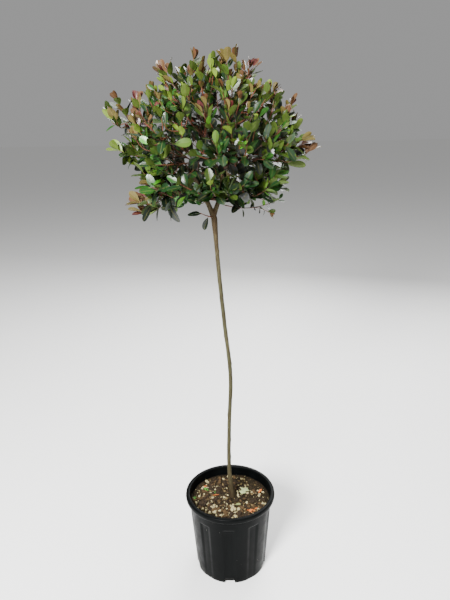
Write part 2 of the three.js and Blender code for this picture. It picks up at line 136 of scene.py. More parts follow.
# Each order of shoot: its radius at the foot and at the tip, and the share that is bare below its leaves.
SHOOT_ORDERS = {
    "stem": (2.5, 1.5, 0.5),
    "twig": (2.0, 1.0, 0.3),
    "side": (1.2, 0.75, 0.22),
    "inner": (1.1, 0.75, 0.25),
    "leader": (1.1, 0.7, 0.25),
    "low": (1.8, 1.0, 0.3),
    "small": (1.7, 0.8, 0.42),
    "sprig": (1.0, 0.7, 0.42),
}
NO_MASS = -1  # a shoot outside the crown belongs to no mass
UP = np.array((0.0, 0.0, 1.0))
MASK = 0xFFFFFFFF
RANDOM_STEP = 0x6D2B79F5


def seeded_random(seed):
    """Returns a function that draws the next of a repeatable stream of numbers from 0 to 1."""
    state = seed & MASK

    def draw():
        nonlocal state
        state = (state + RANDOM_STEP) & MASK
        t = ((state ^ (state >> 15)) * (state | 1)) & MASK
        t ^= (t + ((t ^ (t >> 7)) * (t | 61))) & MASK
        return ((t ^ (t >> 14)) & MASK) / (MASK + 1)

    return draw


def mix(a, b, t):
    return a + (b - a) * t


def smooth(value, low, high):
    """Rises from 0 to 1 between low and high, level at both ends."""
    t = np.clip((value - low) / (high - low), 0, 1)
    return t * t * (3 - 2 * t)


def unit(v):
    return v / max(math.sqrt(v @ v), 1e-9)


def heading(turn, elevation):
    """The direction at a turn and an elevation in degrees."""
    level = math.cos(math.radians(elevation))
    t = math.radians(turn)
    return np.array((level * math.cos(t), level * math.sin(t), math.sin(math.radians(elevation))))


def heart_reach(d):
    """How far the crown's open heart reaches from its centre in a direction."""
    return 1 / math.hypot(math.hypot(d[0], d[1]) / HEART_RADIUS, d[2] / HEART_RISE)


def crown_reach(d):
    """How far the clipped crown reaches from its centre in a direction."""
    n = UPPER_FULLNESS if d[2] > 0 else LOWER_FULLNESS
    level = math.hypot(d[0], d[1]) / CROWN_RADIUS
    upright = abs(d[2]) / (CROWN_RISE if d[2] > 0 else CROWN_DROP)
    return (level**n + upright**n) ** (-1 / n)


def in_heart(point, margin):
    away = point - HEART_CENTRE
    return math.sqrt(away @ away) < heart_reach(unit(away)) + margin


def in_crown(point, margin):
    away = point - CROWN_CENTRE
    return math.sqrt(away @ away) < crown_reach(unit(away)) + margin


def in_front_of_fork(p):
    """True in the gap, which widens upwards towards the front, that leaves the fork in view."""
    near = abs(p[0] - TRUNK_LINE[-1][1]) < FORK_WINDOW_HALF_WIDTH
    return near and p[1] < 0 and p[2] < FORK_WINDOW_TOP - FORK_WINDOW_RISE * p[1]


def bend(a, b, c):
    """A path, from 0 to 1, that leaves a towards b and arrives at c."""
    return lambda t: a * (1 - t) ** 2 + b * (2 * t * (1 - t)) + c * t**2


def direction_of(path, t):
    step = 0.01
    return unit(path(min(1, t + step)) - path(max(0, t - step)))


def turned(v, axis, angle):
    """v turned about a unit axis by an angle in degrees."""
    a = math.radians(angle)
    return v * math.cos(a) + np.cross(axis, v) * math.sin(a) + axis * (axis @ v) * (1 - math.cos(a))


def trunk_path(t):
    """The stem's line as a centripetal Catmull-Rom curve through the points of TRUNK_LINE."""
    points = [np.array((side, back, height), float) for height, side, back in TRUNK_LINE]
    last = len(points) - 1
    i = min(int(t * last), last - 1)
    weight = t * last - i
    before = points[i - 1] if i else 2 * points[0] - points[1]
    after = points[i + 2] if i + 2 <= last else 2 * points[last] - points[last - 1]
    a, b = points[i], points[i + 1]
    gaps = [math.sqrt(math.dist(p, q)) for p, q in ((before, a), (a, b), (b, after))]
    leave = (a - before) / gaps[0] - (b - before) / (gaps[0] + gaps[1]) + (b - a) / gaps[1]
    arrive = (b - a) / gaps[1] - (after - a) / (gaps[1] + gaps[2]) + (after - b) / gaps[2]
    leave, arrive = leave * gaps[1], arrive * gaps[1]
    bend_in = 3 * (b - a) - 2 * leave - arrive
    bend_out = 2 * (a - b) + leave + arrive
    return a + leave * weight + bend_in * weight**2 + bend_out * weight**3


def trunk_radius(height):
    flare = TRUNK_FLARE * math.exp((MIX_TOP - height) / FLARE_HEIGHT)
    return TRUNK_RADIUS + flare + HEAD_SWELL * float(smooth(height, SWELL_FROM, SWELL_TO))


def trunk_at_height(height):
    low, high = 0.0, 1.0
    while high - low > 1e-5:
        middle = (low + high) / 2
        low, high = (middle, high) if trunk_path(middle)[2] < height else (low, middle)
    return trunk_path(low)


def grow_limbs():
    foot = trunk_path(1.0) - LIMB_DROP * UP
    return [bend(foot, foot + np.array(lean), np.array(tip, float)) for tip, lean, _, _ in LIMBS]


def grow_masses(limbs):
    """The masses in order: the direction that each keeps to, where its bough ends, and the bough."""
    masses = []
    for count, turn, aim, enter in RINGS:
        for i in range(count):
            side = turn + 360 / count * i
            entry = heading(side, enter)
            place = HEART_CENTRE + entry * heart_reach(entry)
            masses.append({"towards": heading(side, aim), "enter": place})
    for limb, other in (limbs, limbs[::-1]):
        own = [m for m in masses if math.dist(m["enter"], limb(1)) < math.dist(m["enter"], other(1))]
        own.sort(key=lambda m: m["enter"][2])
        for i, mass in enumerate(own):
            t = mix(BOUGHS_FROM, BOUGHS_TO, i / (len(own) - 1))
            start, end = limb(t), mass["enter"]
            lead = direction_of(limb, t) * (BOUGH_LEAD * math.dist(start, end))
            mass["bough"] = bend(start, mix(start, end, BOUGH_MIDDLE) + lead, end)
    return masses


def shoot_tips():
    """Where the main shoots end: evenly spread over the crown, and the strays that have outgrown it."""
    random = seeded_random(SHOOT_SEED)
    tips = []
    for i in range(SHOOT_COUNT):
        z = 1 - 2 * (i + 0.5) / SHOOT_COUNT
        turn = math.radians(GOLDEN_TURN) * i
        level = math.sqrt(1 - z * z)
        d = np.array((level * math.cos(turn), level * math.sin(turn), z))
        reach = crown_reach(d) * (1 + TIP_JITTER * (2 * random() - 1)) - TIP_ROOM
        tip = CROWN_CENTRE + d * reach
        if tip[2] > CROWN_SKIRT + SKIRT_ROOM and not in_heart(tip, HEART_ROOM):
            tips.append(tip)
    return tips + [np.array(tip, float) for tip in STRAYS]


def fork_for(stem, tip):
    """The place on a stem from which a twig leaves for its tip at the usual angle."""
    best, place = math.inf, 0.0
    t = TWIG_STEP
    while t < TWIG_LAST:
        away = unit(tip - stem(t))
        angle = math.acos(np.clip(direction_of(stem, t) @ away, -1, 1))
        miss = abs(angle - math.radians(TWIG_ANGLE))
        if miss < best:
            best, place = miss, t
        t += TWIG_STEP
    return place


class Crown:
    """The whole plant's limbs, boughs, twigs, shoots and leaves, and the space that each mass keeps to."""

    def __init__(self, sizes):
        self.limbs = grow_limbs()
        self.masses = grow_masses(self.limbs)
        self.towards = np.array([m["towards"] for m in self.masses])
        self.shoots = []
        tips = shoot_tips()
        owners = [self.owner(tip)[0] for tip in tips]
        for index, mass in enumerate(self.masses):
            own = [tip for tip, owner in zip(tips, owners) if owner == index]
            self.grow_mass(index, mass, own, sizes.side_shoots)
        self.grow_low_spray()
        self.dress(sizes)

    def owner(self, point):
        """The mass whose cone a point lies in, and how far inside that cone it is."""
        near = self.towards @ (point - HEART_CENTRE)
        second, first = np.argsort(near)[-2:]
        apart = math.dist(self.towards[first], self.towards[second])
        return int(first), (near[first] - near[second]) / apart

    def allows(self, index, p, margin, skirt=CROWN_SKIRT):
        """True in a mass's own space, or up to -margin outside it, where nothing else must be kept clear."""
        owner, inside = self.owner(p)
        kept = owner == index and inside > margin or margin < 0 and inside < -margin
        return kept and p[2] > skirt and not in_heart(p, 1) and not in_front_of_fork(p)

    def grow_mass(self, index, mass, tips, side_shoots):
        """A mass's stem, from the tip of its bough, and the twigs that leave it for the tips it owns."""
        random = seeded_random(MASS_SEED + index)
        fine = seeded_random(SIDE_SEED + index)
        outward = direction_of(mass["bough"], 1)
        start = mass["enter"] - outward
        aim = unit(HEART_CENTRE + mass["towards"] * MASS_AIM - CROWN_CENTRE)
        end = CROWN_CENTRE + aim * (crown_reach(aim) - TIP_ROOM)
        stem = bend(start, start + outward * (STEM_LEAD * math.dist(start, end)), end)
        for tip in tips:
            fork = fork_for(stem, tip)
            base = stem(fork)
            length = math.dist(base, tip)
            middle = mix(base, tip, 0.5) - UP * (TWIG_SAG * length)
            twig = bend(base, middle + direction_of(stem, fork) * (TWIG_LEAD * length), tip)
            if not all(self.allows(index, twig(t), GAP) for t in (0.25, 0.5, 0.75, 1)):
                continue
            stray = not in_crown(tip, STRAY_ROOM - TIP_ROOM)
            self.add_shoot(index, twig, 360 * random(), stray, "twig")
            self.branch(index, twig, side_shoots, fine, stray)
        self.add_shoot(index, stem, 360 * random(), False, "stem")
        self.branch(index, stem, side_shoots, fine, False)
        self.fill(index, stem, fine)

    def branch(self, index, twig, count, random, stray):
        """Side shoots that leave a twig on all sides and rise beside its tip, and a leader on some."""
        tip = twig(1)
        along = direction_of(twig, 0.9)
        lift = float(smooth(tip[2], LIFT_FROM, LIFT_TO))
        rising = unit(mix(along, UP, mix(0.12, 0.6, lift)))
        side = unit(np.cross(rising, along + 0.3 * UP + 0.01))
        first = 360 * random()
        count += lift < 0.5
        for i in range(count):
            away = turned(side, rising, first + 360 / count * i + SIDE_JITTER * (random() - 0.5))
            end = tip + away * mix(*SIDE_OUT, random()) + rising * mix(*SIDE_UP, random())
            base = twig(mix(*SIDE_FROM, random()))
            shoot = bend(base, end - rising * (0.5 * math.dist(base, end)), end)
            inside = stray or in_crown(end, mix(*SIDE_MARGINS, lift))
            if inside and self.allows(index, end, -SIDE_OVERLAP):
                self.add_shoot(index, shoot, 360 * random(), stray, "side")
        away = turned(side, rising, 360 * random())
        end = tip + rising * mix(*LEADER_UP, random()) + away * LEADER_OUT
        if lift * random() > 0.3 and end[2] < LEADER_TOP:
            self.add_shoot(index, bend(twig(LEADER_FROM), tip, end), 360 * random(), True, "leader")

    def fill(self, index, stem, random):
        """Short shoots low on a mass's stem, which close the crown round its open heart."""
        side = unit(np.cross(direction_of(stem, 0.1), UP + 0.2))
        first = 360 * random()
        for i in range(INNER_SHOOTS):
            base = stem(mix(*INNER_FROM, i / (INNER_SHOOTS - 1)))
            along = direction_of(stem, 0.2)
            away = turned(side, along, first + GOLDEN_TURN * i)
            end = base + away * mix(*INNER_OUT, random()) + along * mix(*INNER_ALONG, random())
            shoot = bend(base, mix(base, end, 0.5) - UP * 6, end)
            if self.allows(index, end, -INNER_OVERLAP):
                self.add_shoot(index, shoot, 360 * random(), False, "inner")

    def add_shoot(self, index, path, phase, stray, order):
        """Keeps a shoot; phase is the turn of its first leaf, and a stray may pass the crown's outline."""
        self.shoots.append({"mass": index, "path": path, "phase": phase, "stray": stray, "order": order})

    def dress(self, sizes):
        """Grows the leaves of every shoot, kind by kind, and drops thin shoots that carry hardly any."""
        random = seeded_random(sizes.seed)
        self.leaves = {kind: [] for kind in LEAF_KINDS}
        kept = []
        for shoot in self.shoots:
            leaves = shoot_leaves(self, shoot, sizes, random)
            if len(leaves) < 2 and shoot["order"] not in ("stem", "twig"):
                continue
            kept.append(shoot)
            for kind, leaf in leaves:
                self.leaves[kind].append(leaf)
        self.shoots = kept

    def grow_low_spray(self):
        """The small spray on the left of the stem below the fork, and a thin one on the right."""
        axis = trunk_at_height(LOW_SPRAY_HEIGHT)
        out = unit((LOW_SPRAY_TIP - axis) * (1, 1, 0))
        start = axis + out * (trunk_radius(axis[2]) - 1)
        stem = bend(start, mix(start, LOW_SPRAY_TIP, 0.5) - 3 * UP, LOW_SPRAY_TIP)
        side = bend(self.limbs[1](0.2), *SIDE_SPRAY)
        fork = side(0.6)
        twig = bend(fork, fork + (20, -6, 2), fork + (44, -10, -14))
        self.add_shoot(NO_MASS, stem, 90, True, "low")
        self.add_shoot(NO_MASS, side, 90, True, "small")
        self.add_shoot(NO_MASS, twig, 0, True, "sprig")


# ---- Leaves ----

# The kinds of leaf from the oldest to the newest, which is also the order of their pieces. The old kind is
# painted shade: near-black leaves for the inside of the crown.
MATURE_KINDS = ("old", "deep", "green", "bright")
LEAF_KINDS = (*MATURE_KINDS, "olive", "lime", "bronze", "russet")
# The newest leaves, and those of the shoots below the crown, are smaller than the rest.
KIND_SIZES = {"bronze": 0.82, "russet": 0.66}
ORDER_SIZES = {"low": 0.8, "small": 0.46, "sprig": 0.46}
FOOT_SIZE, END_SIZE, STRAY_END_SIZE = 1.04, 0.76, 1.06  # at a shoot's foot and tip, times the usual length
HEIGHT_SIZES, SIZE_SPREAD = (0.82, 1.08), (0.74, 1.16)
# How many more leaves stand close together at a shoot's tip.
TIP_LEAVES = {"mature": 0, "shaded": 0, "growing": 1, "flushed": 3}
AIRY_FROM, AIRY_TO = 1400, 1600  # between these heights leaves come to stand further apart
SPACINGS = (0.92, 2.0)
LOW_FROM, LOW_TO = 1470, 1250  # between these heights, downwards, leaves come to spread and hang
FOOT_ANGLES, TIP_ANGLES, ANGLE_JITTER, TURN_JITTER = (54, 74), (14, 28), 26, 40
DROOP = 0.35
POINTED_SHARE = 0.75
LEAF_PAST, LEAF_OVERLAP = 5, 18  # how far a leaf may pass the crown's outline and its mass's cone
STEM_ROOM = 16


def shoot_leaves(crown, shoot, sizes, random):
    """The leaves of one shoot, each with its kind: base, direction, face, length and variant."""
    leaves = []
    tone = shoot_tone(shoot, random)
    low = SHOOT_ORDERS[shoot["order"]][2]
    span = math.dist(shoot["path"](low), shoot["path"](1)) * MM
    airy = float(smooth(shoot["path"](1)[2], AIRY_FROM, AIRY_TO))
    count = max(4, round(span / sizes.leaf_spacing / mix(*SPACINGS, airy)))
    for i in range(count + TIP_LEAVES[tone]):
        share = min(1, i / (count - 1))
        *leaf, draw = leaf_place(shoot, i, share, mix(low, 1, share**0.72), sizes, random)
        kind = leaf_kind(tone, share, random)
        leaf[-1] *= KIND_SIZES.get(kind, 1)
        if leaf_fits(crown, shoot, *leaf):
            leaves.append((kind, (*leaf, variant_for(kind, draw))))
    return leaves


def shoot_tone(shoot, random):
    """Most shoots are mature. Towards the top and the outside more of them are in young growth."""
    # Inner shoots take the shaded tone, whose leaves are mostly old ones, painted near-black as the shade
    # inside the crown.
    if shoot["order"] in ("inner", "low"):
        return "shaded" if shoot["order"] == "inner" else "mature"
    tip = shoot["path"](1)
    height = (tip[2] - CROWN_SKIRT) / (CROWN_CENTRE[2] + CROWN_RISE - CROWN_SKIRT)
    draw = random()
    flushed = 0.02 + 0.58 * smooth(height, 0.4, 0.9) + (0.7 if shoot["stray"] else 0)
    growing = 0.07 + 0.25 * smooth(height, 0.28, 0.8)
    if draw < flushed:
        return "flushed"
    return "growing" if draw < flushed + growing else "mature"


def leaf_kind(tone, share, random):
    """A leaf's kind: low on a shoot an old one, painted near-black as shade inside the crown, or a green
    one, and one of its tone's own at the tip.
    """
    draw = random()
    # The old kind is painted shade: near-black leaves on inner shoots and low on every shoot, inside the
    # crown.
    if tone == "shaded" or share < 0.3:
        return "old" if draw < 0.75 else "deep"
    if tone == "mature":
        return "deep" if draw < 0.62 else "green" if draw < 0.965 else "bright"
    if share < 0.55:
        return "deep" if draw < 0.45 else "green" if draw < 0.8 else "olive"
    if tone == "growing":
        return "olive" if draw < 0.7 else "lime"
    if share < 0.7:
        return "olive" if draw < 0.5 else "lime" if draw < 0.65 else "bronze"
    return "bronze" if draw < 0.4 else "russet"


def leaf_place(shoot, i, share, t, sizes, random):
    """A leaf's base, direction, face and length on its shoot, and the draw that picks its variant."""
    path = shoot["path"]
    along = direction_of(path, t)
    side = unit(np.cross(along, UP if abs(along[2]) < 0.9 else np.array((1.0, 0, 0))))
    side = turned(side, along, shoot["phase"] + GOLDEN_TURN * i + TURN_JITTER * (random() - 0.5))
    low = float(smooth(path(1)[2], LOW_FROM, LOW_TO))
    angle = mix(mix(*FOOT_ANGLES, low), mix(*TIP_ANGLES, low), share**1.4)
    angle = math.radians(angle + ANGLE_JITTER * (random() - 0.5))
    direction = along * math.cos(angle) + side * math.sin(angle)
    direction = unit(direction - UP * (DROOP * low * (1 - share)))
    face = along + UP * 0.7 + np.cross(along, side) * (1.3 * (random() - 0.5))
    face = face - direction * (face @ direction)
    end_size = STRAY_END_SIZE if shoot["stray"] else END_SIZE
    length = sizes.leaf_length / MM * mix(FOOT_SIZE, end_size, share**2) * mix(*SIZE_SPREAD, random())
    length *= ORDER_SIZES.get(shoot["order"], mix(*HEIGHT_SIZES, low))
    return path(t), direction, unit(face), length, random()


def variant_for(kind, draw):
    """Mature leaves are mostly of the pointed variants, which come first, and young ones of the blunt."""
    half = len(LEAF_VARIANTS) // 2
    share = POINTED_SHARE if kind in MATURE_KINDS else 1 - POINTED_SHARE
    return int(half * draw / share) if draw < share else half + int(half * (draw - share) / (1 - share))


def leaf_fits(crown, shoot, base, direction, _, length):
    """True for a leaf that keeps to the crown and to its mass's cone, or clear of the stem below them."""
    tip = base + direction * length
    if shoot["mass"] == NO_MASS:
        return abs(tip[0] - TRUNK_LINE[-1][1]) > STEM_ROOM
    middle = base + direction * (0.6 * length)
    inside = shoot["stray"] or in_crown(tip, LEAF_PAST)
    return inside and all(crown.allows(shoot["mass"], p, -LEAF_OVERLAP, LEAF_SKIRT) for p in (tip, middle))


# ---- Meshes ----


def link_object(name, data):
    obj = bpy.data.objects.new(name, data)
    bpy.context.scene.collection.objects.link(obj)
    return obj


def shade_smooth(mesh):
    mesh.polygons.foreach_set("use_smooth", [True] * len(mesh.polygons))


def edit_mesh(mesh, edit):
    """Runs edit on a mesh in edit form, and turns all its faces outwards."""
    form = bmesh.new()
    form.from_mesh(mesh)
    edit(form)
    bmesh.ops.recalc_face_normals(form, faces=form.faces)
    form.to_mesh(mesh)
    form.free()


def merge_doubles(form):
    bmesh.ops.remove_doubles(form, verts=form.verts, dist=1e-6)


def add_object(name, verts, faces, materials=()):
    mesh = bpy.data.meshes.new(name)
    mesh.from_pydata([tuple(v) for v in verts], [], [tuple(f) for f in faces])
    mesh.validate()
    for material in materials:
        mesh.materials.append(material)
    shade_smooth(mesh)
    return link_object(name, mesh)


def ring_faces(rings, sides, start=0):
    """The quads between rings of points that follow one another, from the point numbered start."""
    faces = []
    for ring in range(rings - 1):
        for k in range(sides):
            a, b = (start + ring * sides + corner for corner in (k, (k + 1) % sides))
            faces.append((a, b, b + sides, a + sides))
    return faces


def tube(path, radius_at, sides, steps):
    """Vertices and faces of a closed tapering tube along a path, in millimetres."""
    ring = 2 * np.pi * np.arange(sides) / sides
    verts = []
    across = np.array((1.0, 0.2, 0.0))
    for i in range(steps + 1):
        t = i / steps
        along = direction_of(path, t)
        across = unit(across - along * (across @ along))
        other = np.cross(along, across)
        circle = np.outer(np.cos(ring), across) + np.outer(np.sin(ring), other)
        verts.extend(path(t) + circle * radius_at(t))
    ends = tuple(range(sides))[::-1], tuple(steps * sides + k for k in range(sides))
    return verts, [*ring_faces(steps + 1, sides), *ends]


def join_parts(parts):
    """Joins lists of vertices and faces into one, in metres."""
    verts, faces = [], []
    for part_verts, part_faces in parts:
        start = len(verts)
        verts.extend(np.asarray(part_verts) * MM)
        faces.extend(tuple(i + start for i in face) for face in part_faces)
    return verts, faces


def keep_evaluated(obj):
    """Makes what an object's modifiers give its own mesh, and removes them."""
    depsgraph = bpy.context.evaluated_depsgraph_get()
    mesh = bpy.data.meshes.new_from_object(obj.evaluated_get(depsgraph))
    obj.modifiers.clear()
    old, obj.data = obj.data, mesh
    bpy.data.meshes.remove(old)
    mesh.name = obj.name
    return obj


def finish_piece(obj, slot, *nodes):
    """Makes a piece move with the part and stand for solids, if any. The slot is not used."""
    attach(obj, BODY)
    if nodes:
        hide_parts(*nodes)


# ---- Geometry Nodes: small pieces dealt out over points ----


def add_node(tree, kind, output, inputs, **options):
    """A new node's output, after its options are set and each input has its value or its link."""
    node = tree.nodes.new(kind)
    for name, value in options.items():
        setattr(node, name, value)
    for name, value in inputs.items():
        if isinstance(value, bpy.types.NodeSocket):
            tree.links.new(value, node.inputs[name])
        else:
            node.inputs[name].default_value = value
    return node.outputs[output]


def scatter_tree(name, materials):
    """A tree that puts one of a collection's shapes on each point, turned and sized by attributes.

    materials gives one material for each value of the shapes' face attribute part.
    """
    tree = bpy.data.node_groups.new(name, "GeometryNodeTree")
    for label, side, kind in (
        ("Geometry", "INPUT", "Geometry"),
        ("Shapes", "INPUT", "Collection"),
        ("Size", "INPUT", "Float"),
        ("Geometry", "OUTPUT", "Geometry"),
    ):
        socket = tree.interface.new_socket(label, in_out=side, socket_type=f"NodeSocket{kind}")
        if kind == "Float":
            socket.default_value = 1.0

    def attribute(label, kind):
        inputs = {"Name": label}
        return add_node(tree, "GeometryNodeInputNamedAttribute", "Attribute", inputs, data_type=kind)

    given = tree.nodes.new("NodeGroupInput").outputs
    source = {"Collection": given["Shapes"], "Separate Children": True, "Reset Children": True}
    scale = {0: attribute("size", "FLOAT"), 1: given["Size"]}
    places = {
        "Points": given["Geometry"],
        "Instance": add_node(tree, "GeometryNodeCollectionInfo", "Instances", source),
        "Pick Instance": True,
        "Instance Index": attribute("variant", "INT"),
        "Rotation": attribute("turn", "FLOAT_VECTOR"),
        "Scale": add_node(tree, "ShaderNodeMath", 0, scale, operation="MULTIPLY"),
    }
    dealt = add_node(tree, "GeometryNodeInstanceOnPoints", "Instances", places)
    last = add_node(tree, "GeometryNodeRealizeInstances", "Geometry", {"Geometry": dealt})
    for value, material in enumerate(materials):
        finish = {"Geometry": last, "Material": material}
        if value:
            parts = {2: attribute("part", "INT"), 3: value}
            options = {"data_type": "INT", "operation": "EQUAL"}
            finish["Selection"] = add_node(tree, "FunctionNodeCompare", "Result", parts, **options)
        last = add_node(tree, "GeometryNodeSetMaterial", "Geometry", finish)
    tree.links.new(last, tree.nodes.new("NodeGroupOutput").inputs["Geometry"])
    return tree


def socket_key(tree, name):
    return next(s.identifier for s in tree.interface.items_tree if s.name == name and s.in_out == "INPUT")


def shape_collection(name, meshes):
    """A collection, not linked to the scene, of the shapes that a scatter deals out, in order."""
    collection = bpy.data.collections.new(name)
    for i, mesh in enumerate(meshes):
        collection.objects.link(bpy.data.objects.new(f"{name}_{i:02d}", mesh))
    return collection


def scatter(name, rows, shapes, materials):
    """A joined mesh of shapes by a scatter tree; each row gives one's point, turn, size and variant."""
    points, turns, sizes, variants = ([row[k] for row in rows] for k in range(4))
    obj = add_object(name, points, [])
    attributes = obj.data.attributes
    attributes.new("turn", "FLOAT_VECTOR", "POINT").data.foreach_set("vector", np.ravel(turns))
    attributes.new("size", "FLOAT", "POINT").data.foreach_set("value", sizes)
    attributes.new("variant", "INT", "POINT").data.foreach_set("value", variants)
    tree = scatter_tree(f"{name}_scatter", materials)
    modifier = obj.modifiers.new("scatter", "NODES")
    modifier.node_group = tree
    modifier[socket_key(tree, "Shapes")] = shapes
    return keep_evaluated(obj)


# Each variant of a leaf's shape: how far it arches, folds, twists and waves, its width beside others',
# and how the blade widens from its stalk and closes at its tip. The first half have pointed tips.
LEAF_VARIANTS = (
    (0.08, 0.16, 0.0, 0.012, 0.96, 0.8, 0.8),
    (0.18, 0.12, 9.0, 0.018, 1.0, 0.72, 0.74),
    (0.02, 0.24, -12.0, 0.014, 0.9, 0.86, 0.78),
    (-0.04, 0.14, 12.0, 0.012, 0.95, 0.95, 0.55),
    (0.12, 0.32, -8.0, 0.008, 0.84, 0.95, 0.6),
    (0.05, 0.22, 18.0, 0.018, 1.0, 1.0, 0.5),
)
LEAF_ROWS = (0.0, 0.11, 0.27, 0.47, 0.67, 0.84, 0.95, 1.0)
UPPER_COLUMNS = (-1.0, -0.55, -0.06, 0.06, 0.55, 1.0)
UNDER_COLUMNS = (-1.0, -0.06, 0.06, 1.0)
STALK_END, STALK_HALF, TIP_HALF = 0.11, 0.02, 0.012
UPPER_SINK, UNDER_SINK, RIB_SINK = -0.003, 0.006, 1.8
UPPER_SIDE, UNDERSIDE, RIB = 0, 1, 2


def leaf_half_width(s, width, rise, close):
    """Half the width of a leaf at a share s of its length: a thin stalk, then the blade."""
    if s <= STALK_END or s >= 1:
        return STALK_HALF if s < 1 else TIP_HALF
    q = (s - STALK_END) / (1 - STALK_END)
    widest = rise / (rise + close)
    fullness = (q / widest) ** rise * ((1 - q) / (1 - widest)) ** close
    return STALK_HALF + (width / 2 - STALK_HALF) * fullness


def leaf_side(columns, index, width, sink, lobes):
    """One side of a blade as rows of points, sunk away from its rim, and more at the rib."""
    arch, fold, twist, wave, wider, rise, close = LEAF_VARIANTS[index]
    points = []
    for row, s in enumerate(LEAF_ROWS):
        half = leaf_half_width(s, width * wider, rise, close) * (1 - lobes * (row % 2))
        turn = math.radians(twist) * s
        for c in columns:
            across = c * half
            ripple = wave * c**2 * math.sin(9 * s + 2 * c) * min(1, half / 0.1)
            z = fold * abs(across) - arch * s**2 + ripple
            if abs(c) < 1:
                z -= sink * (RIB_SINK if abs(c) < 0.1 else 1)
            y = across * math.cos(turn) - z * math.sin(turn)
            points.append((s, y, across * math.sin(turn) + z * math.cos(turn)))
    return points


def side_faces(columns, start, facing_up):
    """The faces of one side, and whether each is on the rib or stalk."""
    faces, ribs = [], []
    count = len(columns)
    for r in range(len(LEAF_ROWS) - 1):
        for c in range(count - 1):
            a = start + r * count + c
            face = (a, a + count, a + count + 1, a + 1)
            faces.append(face if facing_up else face[::-1])
            ribs.append(c == count // 2 - 1 or LEAF_ROWS[r + 1] <= STALK_END)
    return faces, ribs


def leaf_shapes(name, width, lobes=0.0):
    return shape_collection(name, [leaf_mesh(i, width, lobes) for i in range(len(LEAF_VARIANTS))])


def leaf_mesh(index, width, lobes):
    """A closed thin blade of length 1 along X whose upper side faces Z, with its sides marked."""
    upper = leaf_side(UPPER_COLUMNS, index, width, UPPER_SINK, lobes)
    under = leaf_side(UNDER_COLUMNS, index, width, UNDER_SINK, lobes)
    top, top_ribs = side_faces(UPPER_COLUMNS, 0, True)
    bottom, bottom_ribs = side_faces(UNDER_COLUMNS, len(upper), False)
    parts = [RIB if rib else UPPER_SIDE for rib in top_ribs]
    parts += [RIB if rib else UNDERSIDE for rib in bottom_ribs]
    mesh = bpy.data.meshes.new(f"leaf_{index}")
    mesh.from_pydata(upper + under, [], top + bottom)
    mesh.attributes.new("part", "INT", "FACE").data.foreach_set("value", parts)
    shade_smooth(mesh)
    edit_mesh(mesh, close_blade)
    return mesh


def close_blade(form):
    """Joins the upper side to the underside all round, with a sharp rim."""
    for edge in form.edges:
        edge.smooth = not edge.is_boundary
    bmesh.ops.remove_doubles(form, verts=form.verts, dist=1e-5)
    rim = [edge for edge in form.edges if edge.is_boundary]
    if rim:
        bmesh.ops.edgeloop_fill(form, edges=rim)


def frame_turn(x_axis, z_axis):
    """The Euler angles that turn X to x_axis and Z to z_axis."""
    y_axis = np.cross(z_axis, x_axis)
    columns = zip(x_axis, y_axis, z_axis)
    return tuple(Matrix([tuple(row) for row in columns]).to_euler("XYZ"))


# ---- Materials ----


class Shader:
    """A new material with a Principled surface, and short ways to add the nodes that drive it."""

    def __init__(self, name, color, roughness, **constants):
        self.material = bpy.data.materials.new(name)
        self.material.use_nodes = True
        self.tree = self.material.node_tree
        self.surface = self.tree.nodes["Principled BSDF"]
        self.surface.inputs["Base Color"].default_value = (*color, 1)
        self.surface.inputs["Roughness"].default_value = roughness
        for socket, value in constants.items():
            self.surface.inputs[socket.replace("_", " ")].default_value = value
        self.place = self.tree.nodes.new("ShaderNodeTexCoord").outputs["Object"]

    def add(self, kind, output, inputs, **options):
        return add_node(self.tree, kind, output, inputs, **options)

    def drive(self, socket, output):
        self.tree.links.new(output, self.surface.inputs[socket])

    def stretched(self, scale):
        return self.add("ShaderNodeMapping", "Vector", {"Vector": self.place, "Scale": scale})

    def noise(self, scale, detail=3, rough=0.55, vector=None):
        inputs = {"Vector": vector or self.place, "Scale": scale, "Detail": detail, "Roughness": rough}
        return self.add("ShaderNodeTexNoise", "Fac", inputs)

    def cells(self, scale, vector=None):
        return self.add("ShaderNodeTexVoronoi", "Distance", {"Vector": vector or self.place, "Scale": scale})

    def between(self, value, low, high, to_low=0.0, to_high=1.0):
        inputs = {"Value": value, "From Min": low, "From Max": high, "To Min": to_low, "To Max": to_high}
        return self.add("ShaderNodeMapRange", "Result", inputs)

    def product(self, a, b):
        return self.add("ShaderNodeMath", 0, {0: a, 1: b}, operation="MULTIPLY")

    def blend(self, share, a, b):
        """A colour that goes from a to b by share; a and b are colours or outputs."""
        a, b = ((*color, 1) if isinstance(color, tuple) else color for color in (a, b))
        return self.add("ShaderNodeMix", 2, {0: share, 6: a, 7: b}, data_type="RGBA")

    def bump(self, height, depth, strength):
        inputs = {"Height": height, "Distance": depth, "Strength": strength}
        self.drive("Normal", self.add("ShaderNodeBump", "Normal", inputs))


def linear(red, green, blue):
    """A display colour from 0 to 255 as the linear colour that a shader takes."""
    levels = [v / 255 for v in (red, green, blue)]
    return tuple(v / 12.92 if v < 0.04045 else ((v + 0.055) / 1.055) ** 2.4 for v in levels)


def blended(a, b, share):
    return tuple(mix(low, high, share) for low, high in zip(a, b))


def shade(color, factor):
    """A darker or lighter form of a colour."""
    return tuple(min(1, v * factor) for v in color)


def plastic_material(color):
    """Black moulded plastic: satin, faintly pebbled, scuffed in streaks, with a few pale specks."""
    s = Shader("pot_plastic", color, 0.4, Specular_IOR_Level=0.04)
    scuffs = s.noise(14, 4, 0.6, s.stretched((1, 1, 0.18)))
    pebble = s.noise(900, 2)
    specks = s.between(s.cells(75), 0.06, 0.045)
    rare = s.between(s.noise(9, 1), 0.6, 0.66)
    worn = s.blend(s.between(scuffs, 0.48, 0.75, 0, 0.55), tuple(color), shade(color, 2.4))
    s.drive("Base Color", s.blend(s.product(specks, rare), worn, linear(168, 166, 156)))
    s.drive("Roughness", s.between(s.noise(40, 3), 0.3, 0.75, 0.32, 0.52))
    s.bump(pebble, 0.00025, 0.35)
    return s.material


